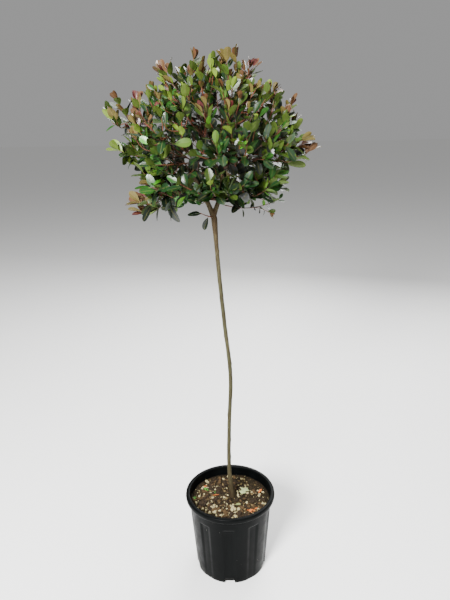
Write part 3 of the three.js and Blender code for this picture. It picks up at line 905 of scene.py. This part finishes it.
def soil_material(color):
    """Damp broken-down bark: crumbs of dark and middling brown."""
    s = Shader("potting_mix", color, 0.95, Specular_IOR_Level=0.12)
    crumbs = s.blend(s.between(s.noise(210, 5, 0.7), 0.36, 0.62), shade(color, 0.32), shade(color, 1.5))
    s.drive("Base Color", s.blend(s.between(s.cells(330), 0.1, 0.5), crumbs, shade(color, 0.55)))
    s.bump(s.noise(420, 5, 0.75), 0.004, 1.0)
    return s.material


def chip_material(name, color, contrast):
    """A chip of bark or a lump of perlite: grained, from a darker to a lighter tone."""
    s = Shader(name, color, 0.9, Specular_IOR_Level=0.15)
    grain = s.noise(160, 4, 0.65, s.stretched((1, 2.5, 1)))
    tones = shade(color, 1 - contrast), shade(color, 1 + contrast)
    s.drive("Base Color", s.blend(s.between(grain, 0.3, 0.7), *tones))
    s.bump(s.noise(700, 3), 0.0012, 0.9)
    return s.material


def bark_material(green, brown, pale):
    """Young bark: greenish up the stem, browner at the foot and the fork, with pale patches and pores."""
    s = Shader("bark", green, 0.82, Specular_IOR_Level=0.15)
    upright = s.stretched((1, 1, 0.12))
    grain = s.noise(420, 5, 0.6, upright)
    patches = s.noise(26, 3, 0.5, s.stretched((1, 1, 0.4)))
    height = s.add("ShaderNodeSeparateXYZ", "Z", {0: s.place})
    head = s.between(height, 0.98, 1.2)
    foot = s.between(height, 0.42, 0.25)
    base = s.blend(head, tuple(green), tuple(brown))
    base = s.blend(foot, base, shade(brown, 0.62))
    mottled = s.blend(s.between(patches, 0.45, 0.68, 0, 0.6), base, tuple(pale))
    dark_grain = s.blend(s.between(grain, 0.34, 0.58), shade(brown, 0.45), mottled)
    pores = s.between(s.cells(240, s.stretched((1, 1, 1.9))), 0.16, 0.08, 0, 0.5)
    s.drive("Base Color", s.blend(pores, dark_grain, shade(pale, 1.25)))
    s.bump(grain, 0.0016, 0.9)
    return s.material


def twig_material(name, color, tip_color):
    """Young wood, from brown to the red of this year's growth."""
    s = Shader(name, color, 0.5, Specular_IOR_Level=0.2)
    s.drive("Base Color", s.blend(s.between(s.noise(34, 2), 0.4, 0.62), tuple(color), tuple(tip_color)))
    s.bump(s.noise(700, 2), 0.0006, 0.5)
    return s.material


def leaf_material(name, color, roughness, veined):
    """One side of a leaf: its colour with slight unevenness, and a leathery surface, glossy if veined."""
    s = Shader(name, color, roughness, Specular_IOR_Level=0.42 if veined else 0.16)
    unevenness = s.between(s.noise(55, 2), 0.35, 0.7)
    s.drive("Base Color", s.blend(unevenness, shade(color, 0.86), shade(color, 1.14)))
    s.bump(s.noise(260, 3), 0.0012, 0.35 if veined else 0.2)
    return s.material


# ---- Settings ----


def size_property(name, description, default):
    return FloatProperty(name=name, description=description, default=default, unit="LENGTH")


def count_property(name, description, default, least=0):
    return IntProperty(name=name, description=description, default=default, min=least)


def angle_property(name, description, default):
    return FloatProperty(name=name, description=description, default=default, subtype="ANGLE")


def color_property(name, description, red, green, blue):
    return FloatVectorProperty(
        name=name, description=description, default=linear(red, green, blue), subtype="COLOR", min=0, max=1
    )


class TOPIARY_PG_pot(bpy.types.PropertyGroup):
    """The pot's sizes and colour."""

    height: size_property("Height", "From the ground to the top of the lip", POT_TOP)
    lip_radius: size_property("Lip radius", "Outside, at the lip", 0.150)
    neck_radius: size_property("Neck radius", "Outside, just under the lip", 0.1382)
    foot_radius: size_property("Foot radius", "Outside, at the ground", 0.1188)
    lip_height: size_property("Lip height", "How deep the lip is", 0.0165)
    flutes: count_property("Flutes", "Upright grooves in the wall", 10, 3)
    color: color_property("Plastic", "The pot's plastic", 4, 5, 5)


class TOPIARY_PG_mix(bpy.types.PropertyGroup):
    """What lies in the pot."""

    soil: color_property("Soil", "The fine part of the potting mix", 40, 33, 20)
    bark_chips: count_property("Bark chips", "How many chips lie on top", 900)
    perlite: count_property("Perlite", "How many pale lumps lie on top", 330)
    crumbs: count_property("Crumbs", "How many crumbs lie on top", 2000)
    seed: count_property("Seed", "Deals the chips out differently", 11)


class TOPIARY_PG_wood(bpy.types.PropertyGroup):
    """The stem's bark and the twigs."""

    voxel: size_property("Finest relief", "How finely the bark's surface is divided", 0.0012)
    relief: size_property("Relief", "How far the bark's ridges stand up", 0.0005)
    bark: color_property("Bark", "The clear stem", 56, 55, 36)
    bark_brown: color_property("Brown bark", "The fork and the foot", 56, 43, 26)
    bark_pale: color_property("Pale bark", "Patches and pores", 80, 77, 54)
    twig: color_property("Twigs", "Last year's wood", 62, 44, 30)
    young_twig: color_property("Young twigs", "This year's wood", 92, 48, 33)


class TOPIARY_PG_leaves(bpy.types.PropertyGroup):
    """How the crown is dressed."""

    leaf_length: size_property("Leaf length", "A mature leaf with its stalk", 0.050)
    leaf_width: FloatProperty(name="Leaf width", description="As a share of its length", default=0.52)
    leaf_spacing: size_property("Leaf spacing", "From leaf to leaf along a shoot", 0.0114)
    side_shoots: count_property("Side shoots", "Round each main shoot", 3)
    seed: count_property("Seed", "Grows the leaves differently", 24)
    # The old kind's colour is painted shade, near-black for the leaves inside the crown.
    old: color_property("Old green", "The oldest leaves, inside the crown", 6, 15, 6)
    deep: color_property("Deep green", "Mature leaves", 11, 36, 10)
    green: color_property("Green", "Leaves of this year", 25, 61, 15)
    bright: color_property("Bright green", "A few leaves low down", 50, 110, 19)
    olive: color_property("Olive", "Leaves on growing shoots", 38, 54, 13)
    lime: color_property("Lime", "New leaves", 86, 107, 31)
    bronze: color_property("Bronze", "Newer leaves", 74, 51, 32)
    russet: color_property("Russet", "The newest leaves", 62, 22, 21)


class TOPIARY_PG_stage(bpy.types.PropertyGroup):
    """Where the plant is seen from."""

    camera_height: size_property("Camera height", "Above the floor", 1.4651)
    camera_distance: size_property("Camera distance", "From the pot's axis", 1.5744)
    camera_pitch: angle_property("Pitch", "Downwards", 0.313)
    camera_roll: angle_property("Roll", "About the view", -0.0195)
    camera_yaw: angle_property("Yaw", "To the left", 0.003)
    lens: FloatProperty(name="Lens", description="Focal length in millimetres", default=33.0)


def settings(name):
    return getattr(bpy.context.scene, f"topiary_{name}")


# ---- The pot ----

FLUTE_TURN = -3.0  # degrees from the front to the middle of the first flute
FLUTE_EDGE, FLUTE_FLOOR = 9.6, 4.2  # degrees from a flute's middle to its edge and to its flat
FLUTE_TOP, FLUTE_FADE = 0.227, 0.006
FLUTE_DEPTH_TOP, FLUTE_DEPTH_FOOT = 0.0038, 0.0012
WALL = 0.0026
LIP_WIDTH, LIP_ROUND, LIP_EDGE = 0.0148, 0.006, 0.004
POT_SEGMENTS = 400
FOOT_ROUND = 0.0015
FLOOR_TOP, FLUTES_INSIDE = 0.004, 0.23  # below this height the inside is drawn in behind the flutes
# The shallow recess under the pot: the radius and height of each step, from the middle out.
POT_RECESS = ((0.0, 0.0), (0.04, 0.0), (0.041, 0.0012), (0.094, 0.0012), (0.095, 0.0))
DRAIN_COUNT, DRAIN_WIDTH, DRAIN_HEIGHT, DRAIN_REACH = 5, 0.035, 0.013, 0.022
DRAIN_SLOPE = 0.003  # how far each end of a notch leans in over its height


def pot_profile(pot):
    """The wall's outline from the middle of the underside round to the middle of the floor.

    Each point is a radius, a height and the depth of the flutes there.
    """
    neck = pot.height - pot.lip_height

    def wall(z):
        return mix(pot.foot_radius, pot.neck_radius, z / neck)

    def depth(z):
        return mix(FLUTE_DEPTH_FOOT, FLUTE_DEPTH_TOP, z / FLUTE_TOP)

    profile = [(radius, z, 0.0) for radius, z in POT_RECESS]
    profile += [(pot.foot_radius - FOOT_ROUND, 0.0, depth(0)), (pot.foot_radius, FOOT_ROUND, depth(0))]
    profile += [(wall(z), z, depth(z)) for z in np.linspace(0.01, FLUTE_TOP - 0.008, 16)]
    for t in (0.25, 0.5, 0.75, 1.0):
        z = FLUTE_TOP - FLUTE_FADE + FLUTE_FADE * t
        profile.append((wall(z), z, depth(z) * (1 - float(smooth(t, 0, 1)))))
    profile += [(wall(z), z, 0.0) for z in np.linspace(FLUTE_TOP + FLUTE_FADE, neck - 0.0035, 5)]
    profile += lip_profile(pot, neck)
    profile += [(wall(z) - WALL, z, 0.0) for z in (neck - 0.004, 0.25, 0.236)]
    profile += [(wall(z) - WALL - FLUTE_DEPTH_TOP, z, 0.0) for z in (FLUTES_INSIDE, FLOOR_TOP)]
    return [*profile, (0.0, FLOOR_TOP, 0.0)]


def lip_profile(pot, neck):
    """The rolled lip: a step out from the neck, a full round outside and a broad soft top edge."""
    high = pot.height
    half = (high - neck) / 2
    points = [(pot.neck_radius + 0.0004, neck - 0.0015, 0.0), (pot.neck_radius + 0.0036, neck + 0.0003, 0.0)]
    for degrees in range(-70, 91, 16):
        a = math.radians(degrees)
        radius = pot.lip_radius - LIP_ROUND + LIP_ROUND * abs(math.cos(a)) ** 0.5
        points.append((radius, neck + half + half * math.sin(a), 0.0))
    inside = pot.lip_radius - LIP_WIDTH
    for degrees in range(90, 200, 18):
        a = math.radians(degrees)
        radius = inside + LIP_EDGE + LIP_EDGE * math.cos(a)
        points.append((radius, high - LIP_EDGE + LIP_EDGE * math.sin(a), 0.0))
    return points + [(inside + 0.0006, neck + 0.002, 0.0)]


def flute_share(turn, flutes):
    """How much of a flute's depth the wall has at a turn: 1 on its flat, 0 outside its edges."""
    step = 360 / flutes
    offset = abs((turn - FLUTE_TURN + step / 2) % step - step / 2)
    return 1 - float(smooth(offset, FLUTE_FLOOR, FLUTE_EDGE))


def build_pot(pot):
    """The pot as its profile turned round, with the flutes let into its wall and the drains cut out."""
    profile = pot_profile(pot)
    turns = np.arange(POT_SEGMENTS) * 360 / POT_SEGMENTS
    shares = [flute_share(turn, pot.flutes) for turn in turns]
    verts = []
    for radius, height, flute in profile:
        for turn, share in zip(np.radians(turns), shares):
            r = max(radius - flute * share, 0.0)
            verts.append((r * math.sin(turn), -r * math.cos(turn), height))
    faces = ring_faces(len(profile), POT_SEGMENTS)
    obj = add_object("pot_body", verts, faces, [plastic_material(pot.color)])
    edit_mesh(obj.data, merge_doubles)
    cut_drains(obj, pot)
    return obj


def cut_drains(obj, pot):
    """Cuts the drain notches through the foot of the wall, wider at the ground than above."""
    half, reach = DRAIN_WIDTH / 2, pot.foot_radius - DRAIN_REACH
    outline = (
        (-half - 0.001, -0.002),
        (half + 0.001, -0.002),
        (half - DRAIN_SLOPE, DRAIN_HEIGHT),
        (DRAIN_SLOPE - half, DRAIN_HEIGHT),
    )
    verts, faces = [], []
    for i in range(DRAIN_COUNT):
        turn = Matrix.Rotation(math.radians(FLUTE_TURN + i * 360 / DRAIN_COUNT), 3, "Z")
        start = len(verts)
        for depth in (-reach, -reach - DRAIN_REACH - 0.01):
            verts.extend(turn @ Vector((x, depth, z)) for x, z in outline)
        sides = [(k, (k + 1) % 4, (k + 1) % 4 + 4, k + 4) for k in range(4)]
        for face in [(3, 2, 1, 0), (4, 5, 6, 7)] + sides:
            faces.append(tuple(k + start for k in face))
    cutter = add_object("drain_cutter", verts, faces)
    edit_mesh(cutter.data, merge_doubles)
    modifier = obj.modifiers.new("drains", "BOOLEAN")
    modifier.operation, modifier.solver, modifier.object = "DIFFERENCE", "EXACT", cutter
    keep_evaluated(obj)
    bpy.data.objects.remove(cutter)


# ---- The potting mix ----

MIX_RADIUS = 0.1344
MIX_RINGS, MIX_SEGMENTS = 46, 160
# The plug of mix below the surface: the radius and height of each step down the wall.
MIX_PLUG = ((0.1333, 0.2365), (0.1283, 0.2298), (0.1117, 0.0044))
STEM_X, STEM_Y = 0.009, 0.012  # where the stem stands
MOUND, WALL_RISE = 0.0026, 0.003
LITTER_RADIUS, LITTER_EDGE = 0.131, 0.1325
STEM_CLEARANCE = 0.0115
LUMP_SHAPES, LUMP_POINTS = 8, 13
LUMP_RISE, LUMP_TILT = (-0.05, 0.42), 0.4  # how much of a lump's height it is lifted by, and its tilt


def from_stem(x, y):
    return math.hypot(x - STEM_X, y - STEM_Y)


def mix_height(x, y):
    """The mix's uneven surface: mounded round the stem's foot, a little higher against the wall."""
    waves = noise.noise(Vector((x * 24, y * 24, 3.1))) * 0.0035
    rough = waves + noise.noise(Vector((x * 80, y * 80, 7))) * 0.0016
    mound = MOUND * (1 - float(smooth(from_stem(x, y), 0.01, 0.032)))
    rise = WALL_RISE * float(smooth(math.hypot(x, y), 0.1, MIX_RADIUS))
    return MIX_TOP * MM + mound + rough * float(smooth(from_stem(x, y), 0.006, 0.02)) + rise


def build_mix(look):
    """The body of the mix: an uneven top on a plain plug that fills the pot."""
    rows = [(MIX_RADIUS * (i / MIX_RINGS), None) for i in range(1, MIX_RINGS + 1)]
    rows += MIX_PLUG
    verts = [(0, 0, mix_height(0, 0))]
    for radius, height in rows:
        for k in range(MIX_SEGMENTS):
            a = 2 * math.pi * k / MIX_SEGMENTS
            x, y = radius * math.cos(a), radius * math.sin(a)
            verts.append((x, y, mix_height(x, y) if height is None else height))
    faces = [(0, 1 + k, 1 + (k + 1) % MIX_SEGMENTS) for k in range(MIX_SEGMENTS)]
    faces += [(a, d, c, b) for a, b, c, d in ring_faces(len(rows), MIX_SEGMENTS, 1)]
    faces.append(tuple(range(len(verts) - MIX_SEGMENTS, len(verts)))[::-1])
    obj = add_object("potting_mix_body", verts, faces, [soil_material(look.soil)])
    edit_mesh(obj.data, merge_doubles)
    return obj


def lump_meshes(name, stretch, seed):
    """Small broken lumps of about unit size: the hulls of a few points, stretched along X, Y and Z."""
    random = np.random.default_rng(seed)

    def break_lump(form):
        for _ in range(LUMP_POINTS):
            away = unit(random.normal(size=3))
            form.verts.new(away * np.array(stretch) * random.uniform(0.38, 0.56))
        hull = bmesh.ops.convex_hull(form, input=form.verts)
        bmesh.ops.delete(form, geom=hull["geom_interior"], context="VERTS")

    meshes = [bpy.data.meshes.new(f"{name}_{i}") for i in range(LUMP_SHAPES)]
    for mesh in meshes:
        edit_mesh(mesh, break_lump)
    return meshes


def lay_lumps(name, count, sizes, stretch, material, seed, share_at):
    """Strews lumps over the mix; share_at(x, y) is the chance that one stays where it falls."""
    random = np.random.default_rng(seed)
    rows = []
    while len(rows) < count:
        radius, angle = LITTER_RADIUS * math.sqrt(random.random()), 2 * math.pi * random.random()
        x, y = radius * math.cos(angle), radius * math.sin(angle)
        size = mix(*sizes, random.random() ** 2.4)
        clear = from_stem(x, y) > STEM_CLEARANCE + size / 2
        if not clear or random.random() > share_at(x, y) or radius + size * 0.6 > LITTER_EDGE:
            continue
        point = (x, y, mix_height(x, y) + size * stretch[2] * mix(*LUMP_RISE, random.random()))
        turn = (random.normal() * LUMP_TILT, random.normal() * LUMP_TILT, 2 * math.pi * random.random())
        rows.append((point, turn, size, int(random.integers(0, LUMP_SHAPES))))
    shapes = shape_collection(f"{name}_shapes", lump_meshes(name, stretch, seed))
    return scatter(name, rows, shapes, [material])


# Where perlite has washed together: across, back, and how far each patch reaches.
PERLITE_PATCHES = (
    (-0.085, -0.035, 0.05),
    (-0.06, -0.085, 0.05),
    (0.0, -0.06, 0.035),
    (0.115, -0.02, 0.035),
    (-0.02, 0.01, 0.03),
    (-0.085, 0.055, 0.04),
    (0.03, 0.03, 0.03),
)


def perlite_share(x, y):
    """Perlite lies thinly everywhere, and thickly in its patches."""
    near = max(1 - math.hypot(x - cx, y - cy) / reach for cx, cy, reach in PERLITE_PATCHES)
    return 0.16 + 0.6 * max(near, 0)


def bark_share(x, y):
    """The coarse chips are fewer at the back on the right, where the mix is fine."""
    return 0.35 if x > 0.015 and y > -0.03 else 1.0


def crumb_share(_x, _y):
    """Crumbs lie everywhere."""
    return 1.0


# Fallen leaves: across, back, turn in degrees, length, and kind.
FALLEN_LEAVES = (
    (0.054, -0.064, 350, 0.040, "rust"),
    (0.078, -0.058, 25, 0.028, "rust"),
    (0.098, 0.022, 60, 0.022, "rust"),
    (-0.034, 0.022, 205, 0.026, "rust"),
    (-0.080, 0.066, 200, 0.020, "rust"),
    (-0.122, -0.006, 80, 0.026, "fresh"),
    (-0.056, 0.020, 60, 0.024, "fresh"),
    (-0.074, 0.040, 150, 0.020, "fresh"),
    (0.040, -0.034, 190, 0.026, "faded"),
    (0.036, 0.016, 62, 0.050, "lobed"),
    (0.030, -0.098, 300, 0.024, "faded"),
)
FALLEN_COLORS = {
    "rust": (178, 96, 38),
    "fresh": (52, 108, 30),
    "faded": (122, 128, 74),
    "lobed": (138, 148, 100),
}
FALLEN_LIFT = 0.0045


def lay_fallen_leaves(kind):
    """The fallen leaves of one kind, lying a little tilted on the litter."""
    rows = []
    for x, y, turn, length, _ in (row for row in FALLEN_LEAVES if row[4] == kind):
        point = (x, y, mix_height(x, y) + FALLEN_LIFT)
        tilt = (0.25 * math.sin(7 * x * 100), 0.2 * math.cos(y * 90))
        rows.append((point, (*tilt, math.radians(turn)), length, len(rows) % len(LEAF_VARIANTS)))
    width, lobes = (0.8, 0.6) if kind == "lobed" else (0.5, 0.0)
    shapes = leaf_shapes(f"fallen_{kind}_shapes", width, lobes)
    color = linear(*FALLEN_COLORS[kind])
    materials = [
        leaf_material(f"fallen_{kind}", color, 0.6, False),
        leaf_material(f"fallen_{kind}_under", shade(color, 0.8), 0.7, False),
        leaf_material(f"fallen_{kind}_rib", shade(color, 1.3), 0.7, False),
    ]
    return scatter(f"fallen_leaves_{kind}", rows, shapes, materials)


# ---- Bark and twigs ----

# Old pruning scars on the clear stem: height and turn.
SCARS = (
    (318, 200),
    (402, 40),
    (468, 300),
    (560, 150),
    (655, 250),
    (742, 20),
    (836, 190),
    (925, 280),
    (1012, 100),
    (1105, 320),
)
SCAR_SIZE, SCAR_RISE = 0.006, 0.0013
FULLER = 0.5  # what the softening of the skin takes off again
CROTCH_SWELL = 1.2
STEM_SHARE = 0.985  # the stem ends here, and the limbs carry on from inside it
ROOT_FLARE, ROOT_FLARE_TOP = 0.0021, 0.08
SOFTEN_SHARE, SOFTEN_ROUNDS = 0.6, 6
# How finely each kind of tube is divided: its sides, and its steps from foot to end.
TUBES = {"trunk": (24, 220), "limb": (20, 40), "bough": (16, 20), "stem": (8, 10), "shoot": (6, 7)}


def taper(foot, end, fuller=0.0, swell=0.0):
    """A radius that goes from foot to end along a path, swollen over the path's first stretch."""
    return lambda t: mix(foot, end, t) + fuller + swell * max(0, 1 - t / CROTCH_SHARE)


def let_down(limb):
    """A limb's line with its foot sunk into the stem, so that the fork opens low."""
    return lambda t: limb(t) - UP * (CROTCH_DROP * max(0, 1 - t / CROTCH_SHARE) ** 2)


def stem_line(t):
    return trunk_path(t * STEM_SHARE)


def stem_radius(t):
    """The stem's radius along its line, drawn in at the very top, where the limbs carry on."""
    return (trunk_radius(stem_line(t)[2]) + FULLER) * (1 - 0.45 * float(smooth(t, 0.986, 1)))


def build_bark(crown, look):
    """The stem, limbs and boughs as one skin with the relief of bark."""
    parts = [tube(stem_line, stem_radius, *TUBES["trunk"])]
    for limb, (_, _, foot, end) in zip(crown.limbs, LIMBS):
        parts.append(tube(let_down(limb), taper(foot, end, FULLER, CROTCH_SWELL), *TUBES["limb"]))
    for mass in crown.masses:
        parts.append(tube(mass["bough"], taper(BOUGH_FOOT, BOUGH_END, FULLER), *TUBES["bough"]))
    obj = add_object("bark_skin", *join_parts(parts))
    remesh = obj.modifiers.new("skin", "REMESH")
    remesh.mode, remesh.voxel_size, remesh.adaptivity = "VOXEL", look.voxel, 0.0
    soften = obj.modifiers.new("soften", "SMOOTH")
    soften.factor, soften.iterations = SOFTEN_SHARE, SOFTEN_ROUNDS
    keep_evaluated(obj)
    raise_relief(obj, look.relief)
    obj.data.materials.append(bark_material(look.bark, look.bark_brown, look.bark_pale))
    shade_smooth(obj.data)
    return obj


def raise_relief(obj, relief):
    """Moves the skin along its normals: long ridges, a root flare's folds, and pruning scars."""
    count = len(obj.data.vertices)
    places, normals = np.empty(count * 3), np.empty(count * 3)
    obj.data.vertices.foreach_get("co", places)
    obj.data.vertex_normals.foreach_get("vector", normals)
    places, normals = places.reshape(-1, 3), normals.reshape(-1, 3)
    foot = MIX_TOP * MM
    ridges = [noise.noise((x * 260, y * 260, z * 28)) for x, y, z in places]
    knobs = [noise.noise((x * 90 + 5, y * 90, z * 45)) for x, y, z in places]
    move = relief * (0.75 * np.array(ridges) + 0.6 * np.array(knobs))
    around = np.arctan2(places[:, 1] - STEM_Y, places[:, 0] - STEM_X)
    flare = np.clip(1 - (places[:, 2] - foot) / ROOT_FLARE_TOP, 0, 1) ** 1.5
    move += flare * (ROOT_FLARE + 0.0006 * np.cos(5 * around + 0.6) + 0.0004 * np.cos(3 * around))
    for height, turn in SCARS:
        spot = (trunk_at_height(height) + heading(turn, 0) * trunk_radius(height)) * MM
        away = np.linalg.norm(places - spot, axis=1) / SCAR_SIZE
        move += SCAR_RISE * np.exp(-away * away)
    places += normals * move[:, None]
    places[:, 2] = np.maximum(places[:, 2], foot + GAP * MM)
    obj.data.vertices.foreach_set("co", places.ravel())
    obj.data.update()


def build_twigs(name, shoots, division, material):
    """Tapering tubes along the shoots, joined into one piece."""
    parts = []
    for shoot in shoots:
        foot, end, _ = SHOOT_ORDERS[shoot["order"]]
        parts.append(tube(shoot["path"], taper(foot, end), *division))
    return add_object(name, *join_parts(parts), [material])


# ---- Operators ----


class TOPIARY_OT_pot(bpy.types.Operator):
    """Make the fluted pot with its rolled lip and drain notches"""

    bl_idname = "topiary.pot"
    bl_label = "Pot"

    def execute(self, context):
        finish_piece(build_pot(settings("pot")), "pot_plastic", "pot")
        return {"FINISHED"}


class TOPIARY_OT_potting_mix(bpy.types.Operator):
    """Fill the pot with potting mix"""

    bl_idname = "topiary.potting_mix"
    bl_label = "Potting Mix"

    def execute(self, context):
        finish_piece(build_mix(settings("mix")), "potting_mix", "potting_mix")
        return {"FINISHED"}


class TOPIARY_OT_litter(bpy.types.Operator):
    """Strew bark chips, perlite and fallen leaves over the mix"""

    bl_idname = "topiary.litter"
    bl_label = "Litter"

    def execute(self, context):
        look = settings("mix")
        flat, chunky = (1.0, 0.62, 0.34), (1.0, 0.86, 0.7)
        # Each kind: name, count, sizes, stretch, colour, contrast, and where it lies.
        kinds = (
            ("crumbs", look.crumbs, (0.0015, 0.0052), chunky, (58, 47, 28), 0.45, crumb_share),
            ("bark_chips_dark", look.bark_chips // 2, (0.006, 0.030), flat, (38, 29, 19), 0.5, bark_share),
            ("bark_chips_brown", look.bark_chips // 3, (0.006, 0.028), flat, (64, 49, 30), 0.45, bark_share),
            ("bark_chips_tan", look.bark_chips // 6, (0.005, 0.020), flat, (94, 79, 50), 0.35, bark_share),
            ("perlite_lumps", look.perlite, (0.003, 0.016), chunky, (146, 136, 100), 0.25, perlite_share),
        )
        pieces = []
        for i, (name, count, sizes, stretch, color, contrast, share_at) in enumerate(kinds):
            material = chip_material(name, linear(*color), contrast)
            pieces.append(lay_lumps(name, count, sizes, stretch, material, look.seed + i, share_at))
        pieces += [lay_fallen_leaves(kind) for kind in FALLEN_COLORS]
        for piece in pieces:
            finish_piece(piece, "potting_mix")
        return {"FINISHED"}


class TOPIARY_OT_bark(bpy.types.Operator):
    """Make the stem, the fork and the boughs as one skin of bark"""

    bl_idname = "topiary.bark"
    bl_label = "Stem and Boughs"

    def execute(self, context):
        crown = Crown(settings("leaves"))
        finish_piece(build_bark(crown, settings("wood")), "bark", *WOOD_NODES)
        return {"FINISHED"}


class TOPIARY_OT_twigs(bpy.types.Operator):
    """Grow the stems and twigs that the masses of foliage are built on"""

    bl_idname = "topiary.twigs"
    bl_label = "Twigs"

    def execute(self, context):
        look = settings("wood")
        crown = Crown(settings("leaves"))
        stems = [shoot for shoot in crown.shoots if shoot["order"] == "stem"]
        shoots = [shoot for shoot in crown.shoots if shoot["order"] != "stem"]
        old = twig_material("twig_bark", look.twig, shade(look.twig, 0.7))
        young = twig_material("young_twig_bark", look.young_twig, look.twig)
        rows = ("twig_stems", stems, TUBES["stem"], old), ("twig_shoots", shoots, TUBES["shoot"], young)
        for row in rows:
            finish_piece(build_twigs(*row), "bark", *FOLIAGE_NODES)
        return {"FINISHED"}


class TOPIARY_OT_leaves(bpy.types.Operator):
    """Dress the shoots with leaves, each kind as one joined piece"""

    bl_idname = "topiary.leaves"
    bl_label = "Leaves"

    def execute(self, context):
        look = settings("leaves")
        shapes = leaf_shapes("leaf_shapes", look.leaf_width)
        for kind, places in Crown(look).leaves.items():
            rows = []
            for base, direction, face, length, variant in places:
                rows.append((base * MM, frame_turn(direction, face), length * MM, variant))
            piece = scatter(f"leaves_{kind}", rows, shapes, leaf_materials(kind, look))
            finish_piece(piece, "foliage", *FOLIAGE_NODES)
        return {"FINISHED"}


# How far a leaf's underside is paler than its upper side, and its rib paler still.
PALE_GREEN, RIB_COLOR = (90, 108, 36), (160, 152, 90)
# The old kind, painted shade, keeps its underside nearly as dark as its upper side.
PALING = {"old": 0.1, "bronze": 0.24, "russet": 0.12}
USUAL_PALING, RIB_PALING = 0.35, 0.14


def leaf_materials(kind, look):
    """The three materials of one kind of leaf: its upper side, its underside, and its rib and stalk."""
    upper = tuple(getattr(look, kind))
    under = blended(upper, linear(*PALE_GREEN), PALING.get(kind, USUAL_PALING))
    rib = blended(upper, linear(*RIB_COLOR), RIB_PALING)
    return [
        leaf_material(f"leaf_{kind}_upper", upper, 0.34, True),
        leaf_material(f"leaf_{kind}_under", under, 0.55, False),
        leaf_material(f"leaf_{kind}_rib", rib, 0.5, False),
    ]


# Each soft light: its place, what it is turned to, its size and its watts.
LIGHTS = {
    "key_light": ((-1.35, -2.8, 2.7), (0, 0, 1.1), 1.0, 590),
    "fill_light": ((2.4, -1.8, 2.0), (0, 0, 0.9), 2.4, 24),
    "top_light": ((0.4, 0.8, 3.9), (0, 0, 1.2), 1.8, 110),
    "back_light": ((0.9, 2.7, 2.5), (0, 0, 1.3), 2.0, 130),
}
WORLD_STRENGTH = 0.34
FLOOR_HALF, FLOOR_COLOR = 40, (0.96, 0.96, 0.95)


class TOPIARY_OT_stage(bpy.types.Operator):
    """Set the floor, the soft lights and the camera"""

    bl_idname = "topiary.stage"
    bl_label = "Stage"

    def execute(self, context):
        add_floor()
        for name, row in LIGHTS.items():
            add_light(name, *row)
        world = bpy.data.worlds.new("studio")
        world.use_nodes = True
        background = world.node_tree.nodes["Background"]
        background.inputs["Color"].default_value = (1, 1, 1, 1)
        background.inputs["Strength"].default_value = WORLD_STRENGTH
        context.scene.world = world
        add_camera(settings("stage"))
        return {"FINISHED"}


def add_floor():
    verts = [(x * FLOOR_HALF, y * FLOOR_HALF, 0) for x, y in ((-1, -1), (1, -1), (1, 1), (-1, 1))]
    paint = Shader("studio_floor", FLOOR_COLOR, 0.9, Specular_IOR_Level=0.0)
    floor = add_object("studio_floor", verts, [(0, 1, 2, 3)], [paint.material])


def add_light(name, place, target, size, watts):
    light = bpy.data.lights.new(name, "AREA")
    light.shape, light.size, light.energy = "SQUARE", size, watts
    obj = link_object(name, light)
    obj.location = place
    obj.rotation_euler = (Vector(target) - Vector(place)).to_track_quat("-Z", "Y").to_euler()


def add_camera(stage):
    camera = bpy.data.cameras.new("camera")
    camera.lens = stage.lens
    obj = link_object("camera", camera)
    obj.location = (0, -stage.camera_distance, stage.camera_height)
    level = Euler((math.pi / 2 - stage.camera_pitch, 0, stage.camera_yaw)).to_matrix()
    obj.rotation_euler = (level @ Matrix.Rotation(stage.camera_roll, 3, "Z")).to_euler()
    bpy.context.scene.camera = obj


OPERATORS = (
    TOPIARY_OT_pot,
    TOPIARY_OT_potting_mix,
    TOPIARY_OT_litter,
    TOPIARY_OT_bark,
    TOPIARY_OT_twigs,
    TOPIARY_OT_leaves,
    TOPIARY_OT_stage,
)
GROUPS = {
    "pot": TOPIARY_PG_pot,
    "mix": TOPIARY_PG_mix,
    "wood": TOPIARY_PG_wood,
    "leaves": TOPIARY_PG_leaves,
    "stage": TOPIARY_PG_stage,
}


class TOPIARY_PT_panel(bpy.types.Panel):
    """Lists the topiary's operators and settings"""

    bl_label = "Lollipop Topiary"
    bl_space_type = "VIEW_3D"
    bl_region_type = "UI"
    bl_category = "Topiary"

    def draw(self, context):
        for operator in OPERATORS:
            self.layout.operator(operator.bl_idname)
        for name, group in GROUPS.items():
            box = self.layout.box()
            for label in group.__annotations__:
                box.prop(settings(name), label)


CLASSES = (*GROUPS.values(), *OPERATORS, TOPIARY_PT_panel)


def register():
    for item in CLASSES:
        bpy.utils.register_class(item)
    for name, group in GROUPS.items():
        setattr(bpy.types.Scene, f"topiary_{name}", PointerProperty(type=group))


def unregister():
    for name in GROUPS:
        delattr(bpy.types.Scene, f"topiary_{name}")
    for item in reversed(CLASSES):
        bpy.utils.unregister_class(item)


def main():
    register()
    for operator in OPERATORS:
        group, name = operator.bl_idname.split(".")
        getattr(getattr(bpy.ops, group), name)()


if __name__ == "__main__":
    main()
